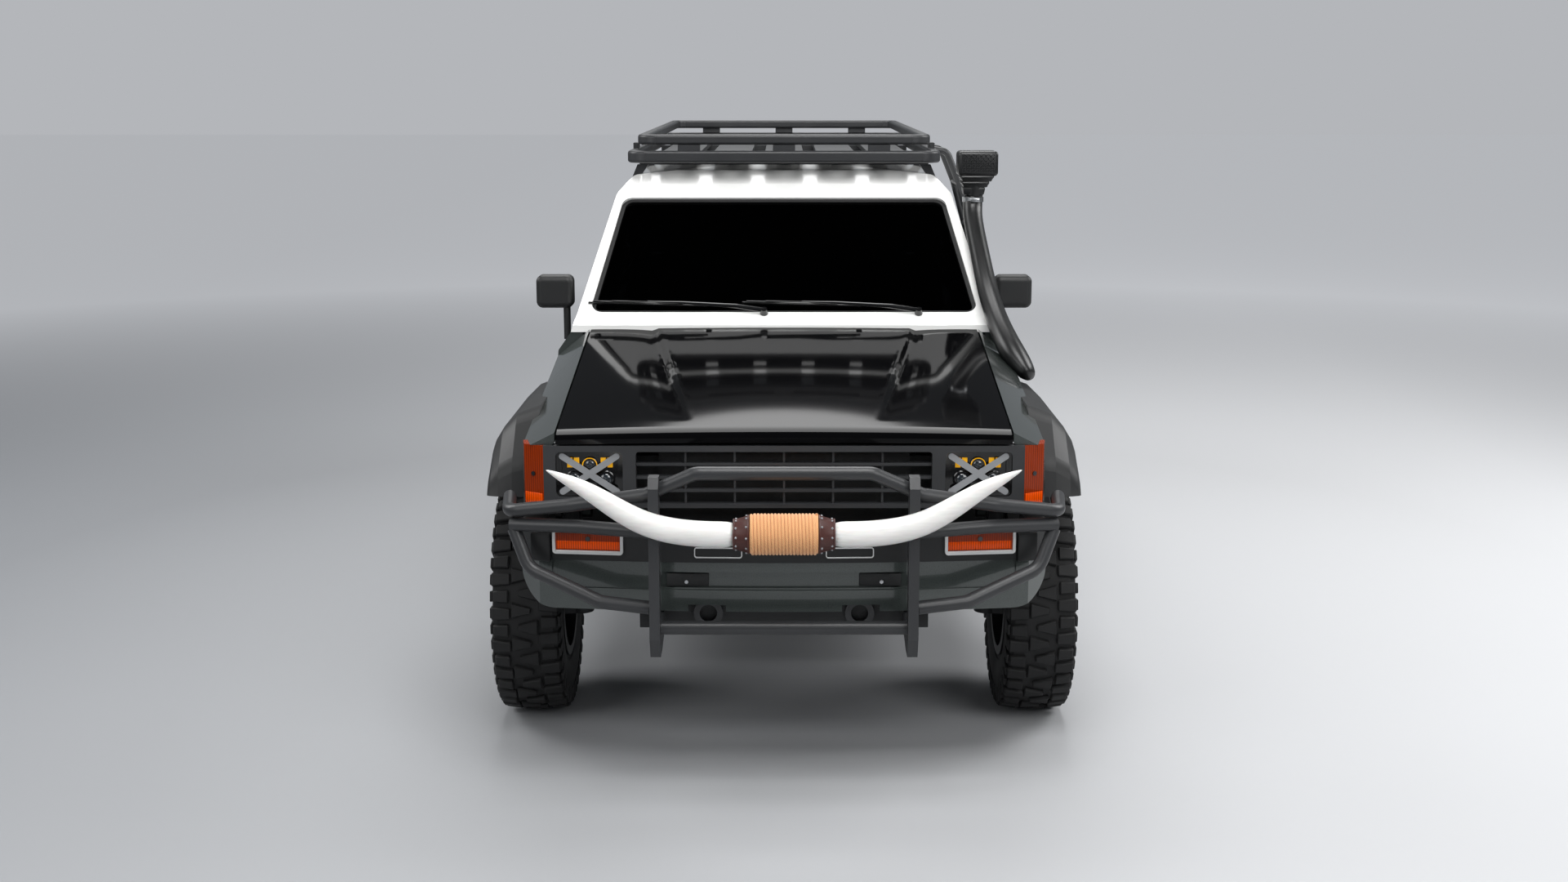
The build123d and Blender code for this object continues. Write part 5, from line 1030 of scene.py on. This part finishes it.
class VEHICLE_OT_seats(bpy.types.Operator):
    """Padded front seats and rear bench"""

    bl_idname = "vehicle.seats"
    bl_label = "Seats"

    def execute(self, context):
        bases = bmesh.new()
        base_z = 0.792
        for name, x, width, back_y in (
            ("left", 0.340, 0.50, 0.001),
            ("right", -0.340, 0.50, 0.001),
            ("bench", 0, 1.13, 0.831),
        ):
            for part, centre, size, lean in (
                ("cushion", (x, back_y - 0.335, base_z + 0.062), (width, 0.46, 0.118), -0.04),
                ("backrest", (x, back_y - 0.012, base_z + 0.34), (width, 0.105, 0.55), -0.22),
                ("headrest", (x, back_y + 0.052, base_z + 0.640), (width * 0.55, 0.07, 0.10), -0.22),
            ):
                bm = bmesh.new()
                block(bm, centre, size, 0, Matrix.Rotation(lean, 4, "X"))
                bmesh.ops.subdivide_edges(bm, edges=bm.edges, cuts=3, use_grid_fill=True)
                axes = {f"use_axis_{axis}": True for axis in "xyz"}
                bmesh.ops.smooth_vert(bm, verts=bm.verts, factor=0.35, **axes)
                pad = smooth_piece(finish_piece(bm, f"{part}_{name}", "cloth", "chassis", 180), 2)
            floor = 0.632 if name != "bench" else 0.742
            middle = (x, back_y - 0.27, (floor + base_z) / 2 + 5 * MM)
            block(bases, middle, (width * 0.72, 0.38, base_z - floor), 6 * MM)
        runners = finish_piece(bases, "bench_and_chair_bases", "vinyl", "chassis")
        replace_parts(runners, "seats")
        return {"FINISHED"}


class VEHICLE_OT_tail(bpy.types.Operator):
    """Tail lamp lenses, tailgate handle and blank plate"""

    bl_idname = "vehicle.tail"
    bl_label = "Tail"

    def execute(self, context):
        lamp_low, lamp_high, _ = node_box("tail_lamps")
        gate_low, gate_high, _ = node_box("tailgate")
        lamp_x = lamp_high.x - 46 * MM
        face_y = lamp_high.y
        amber, clear, frames = (bmesh.new() for _ in range(3))
        block(amber, (lamp_x, face_y + 1 * MM, lamp_high.z - 45 * MM), mm(84, 8, 76), 3 * MM)
        block(clear, (lamp_x, face_y + 1 * MM, lamp_low.z + 36 * MM), mm(84, 8, 58), 3 * MM)
        place = Matrix.Translation((lamp_x, face_y + 3 * MM, (lamp_low.z + lamp_high.z) / 2))
        place = place @ Matrix.Rotation(-math.pi / 2, 4, "X")
        ring_frame(frames, rectangle(0.100, 0.258), 6 * MM, 5 * MM, 5 * MM, place)
        for bm, name, finish in (
            (amber, "tail_amber", "amber"),
            (clear, "tail_clear", "clear"),
            (frames, "tail_frames", "plastic"),
        ):
            mirrored(bm)
            finish_piece(bm, name, finish, "chassis")
        bm = bmesh.new()
        grip = (0, gate_high.y - 9 * MM, gate_high.z - 84 * MM)
        block(bm, grip, (0.18, 16 * MM, 40 * MM), 6 * MM, segments=3)
        finish_piece(bm, "tailgate_handle", "plastic", "tailgate")
        bm = bmesh.new()
        block(bm, (0, gate_high.y - 5 * MM, gate_low.z + 0.26), (0.52, 4 * MM, 0.112), 1.5 * MM)
        finish_piece(bm, "blank_plate", "plate", "tailgate")
        return {"FINISHED"}


class VEHICLE_OT_stage(bpy.types.Operator):
    """Wide pale floor, soft studio lights and the camera"""

    bl_idname = "vehicle.stage"
    bl_label = "Stage"

    def execute(self, context):
        scene = context.scene
        scene.view_settings.view_transform = "Standard"
        bm = bmesh.new()
        bmesh.ops.create_grid(bm, x_segments=1, y_segments=1, size=60)
        mesh = bpy.data.meshes.new("studio_floor")
        bm.to_mesh(mesh)
        bm.free()
        mesh.shade_smooth()
        floor = bpy.data.objects.new("studio_floor", mesh)
        scene.collection.objects.link(floor)
        # Seamless studio floor, matt; its colour is painted shade, greyer on the side away from the main
        # light.
        material, tree, shader, place = start_finish("Studio floor, pale matt with painted shade", {"Roughness": 0.8})
        across = add_node(tree, "ShaderNodeSeparateXYZ", {"Vector": place})
        side = add_node(
            tree, "ShaderNodeMapRange", {"Value": across.outputs["X"], "From Min": -6.0, "From Max": 4.0}
        )
        shade = add_node(tree, "ShaderNodeValToRGB", {"Fac": side.outputs["Result"]})
        shade.color_ramp.elements[0].color = linear("#5A5E64")
        shade.color_ramp.elements[1].color = linear("#CDCED0")
        tree.links.new(shade.outputs["Color"], shader.inputs["Base Color"])
        # The camera alone sees the far floor lifted to the near floor's paleness; no light comes from it.
        reach = add_node(tree, "ShaderNodeVectorMath", {0: place}, operation="LENGTH")
        lift = add_node(
            tree,
            "ShaderNodeMapRange",
            {"Value": reach.outputs["Value"], "From Min": 3.5, "From Max": 12.0, "To Max": 0.92},
        )
        seen = add_node(tree, "ShaderNodeLightPath").outputs["Is Camera Ray"]
        shown = add_node(tree, "ShaderNodeMath", {0: lift.outputs["Result"], 1: seen}, operation="MULTIPLY")
        shader.inputs["Emission Color"].default_value = linear("#B4B6BA")
        tree.links.new(shown.outputs["Value"], shader.inputs["Emission Strength"])
        mesh.materials.append(material)

        # The room over the vehicle is dark, so that upward-facing glass and lacquer stay black.
        world = bpy.data.worlds.new("Studio")
        scene.world = world
        world.use_nodes = True
        sky = world.node_tree
        direction = add_node(sky, "ShaderNodeTexCoord").outputs["Object"]
        height = add_node(sky, "ShaderNodeSeparateXYZ", {"Vector": direction})
        fall = add_node(sky, "ShaderNodeValToRGB", {"Fac": height.outputs["Z"]})
        fall.color_ramp.elements[0].color = linear("#868A8E")
        fall.color_ramp.elements[1].color = linear("#111213")
        fall.color_ramp.elements[1].position = 0.75
        # What the camera sees past the floor's end is as pale as the far floor.
        seen = add_node(sky, "ShaderNodeLightPath").outputs["Is Camera Ray"]
        pale = linear("#B4B6BA")
        sockets = {"Fac": seen, "Color1": fall.outputs["Color"], "Color2": pale}
        shown = add_node(sky, "ShaderNodeMixRGB", sockets)
        sky.links.new(shown.outputs["Color"], sky.nodes["Background"].inputs["Color"])
        sky.nodes["Background"].inputs["Strength"].default_value = 1.0
        for name, place, size, power, aim in (
            ("key_light", (3.4, -6.8, 4.4), 3.4, 175, (0, -0.8, 0.8)),
            ("fill_light", (-4.2, -5.8, 3.6), 3.4, 110, (0, -0.8, 0.8)),
            ("front_top_light", (0.4, -3.9, 6.0), 3.0, 260, (0, -1.6, 0)),
            ("top_light", (0, 3.4, 6.4), 5.0, 360, (0, 0.6, 0)),
            ("right_strip", (5.2, 0.2, 4.4), 3.0, 220, (0, -0.3, 1.2)),
            ("left_strip", (-5.2, 0.2, 4.4), 3.0, 180, (0, -0.3, 1.2)),
        ):
            data = bpy.data.lights.new(name, "AREA")
            data.size = size
            data.energy = power
            lamp = bpy.data.objects.new(name, data)
            lamp.location = place
            lamp.rotation_euler = (Vector(aim) - Vector(place)).to_track_quat("-Z", "Y").to_euler()
            scene.collection.objects.link(lamp)

        data = bpy.data.cameras.new("photo_view")
        data.sensor_width = 36
        data.lens = 42.92
        camera = bpy.data.objects.new("photo_view", data)
        camera.location = (0, -7.439, 2.117)
        camera.rotation_euler = (math.radians(90 - 11.1), 0, 0)
        scene.collection.objects.link(camera)
        scene.camera = camera
        return {"FINISHED"}


OPERATORS = (
    VEHICLE_OT_stage,
    VEHICLE_OT_finishes,
    VEHICLE_OT_tyres,
    VEHICLE_OT_wheels,
    VEHICLE_OT_horns,
    VEHICLE_OT_hood,
    VEHICLE_OT_headlamps,
    VEHICLE_OT_bumper_trim,
    VEHICLE_OT_snorkel,
    VEHICLE_OT_seals,
    VEHICLE_OT_door_fittings,
    VEHICLE_OT_wipers,
    VEHICLE_OT_seats,
    VEHICLE_OT_tail,
)


class VEHICLE_PT_panel(bpy.types.Panel):
    """Lists the vehicle's pieces, sizes and colours"""

    bl_idname = "VEHICLE_PT_panel"
    bl_label = "Vehicle"
    bl_space_type = "VIEW_3D"
    bl_region_type = "UI"
    bl_category = "Vehicle"

    def draw(self, context):
        for group in (context.scene.vehicle_colours, context.scene.vehicle_sizes):
            for name in group.__annotations__:
                self.layout.prop(group, name)
        for operator in OPERATORS:
            self.layout.operator(operator.bl_idname)


CLASSES = (VehicleColours, VehicleSizes, *OPERATORS, VEHICLE_PT_panel)


def register():
    for made in CLASSES:
        bpy.utils.register_class(made)
    bpy.types.Scene.vehicle_colours = PointerProperty(type=VehicleColours)
    bpy.types.Scene.vehicle_sizes = PointerProperty(type=VehicleSizes)


def unregister():
    del bpy.types.Scene.vehicle_sizes
    del bpy.types.Scene.vehicle_colours
    for made in reversed(CLASSES):
        bpy.utils.unregister_class(made)


def main():
    register()
    for operator in OPERATORS:
        group, name = operator.bl_idname.split(".")
        getattr(getattr(bpy.ops, group), name)()


if __name__ == "__main__":
    main()
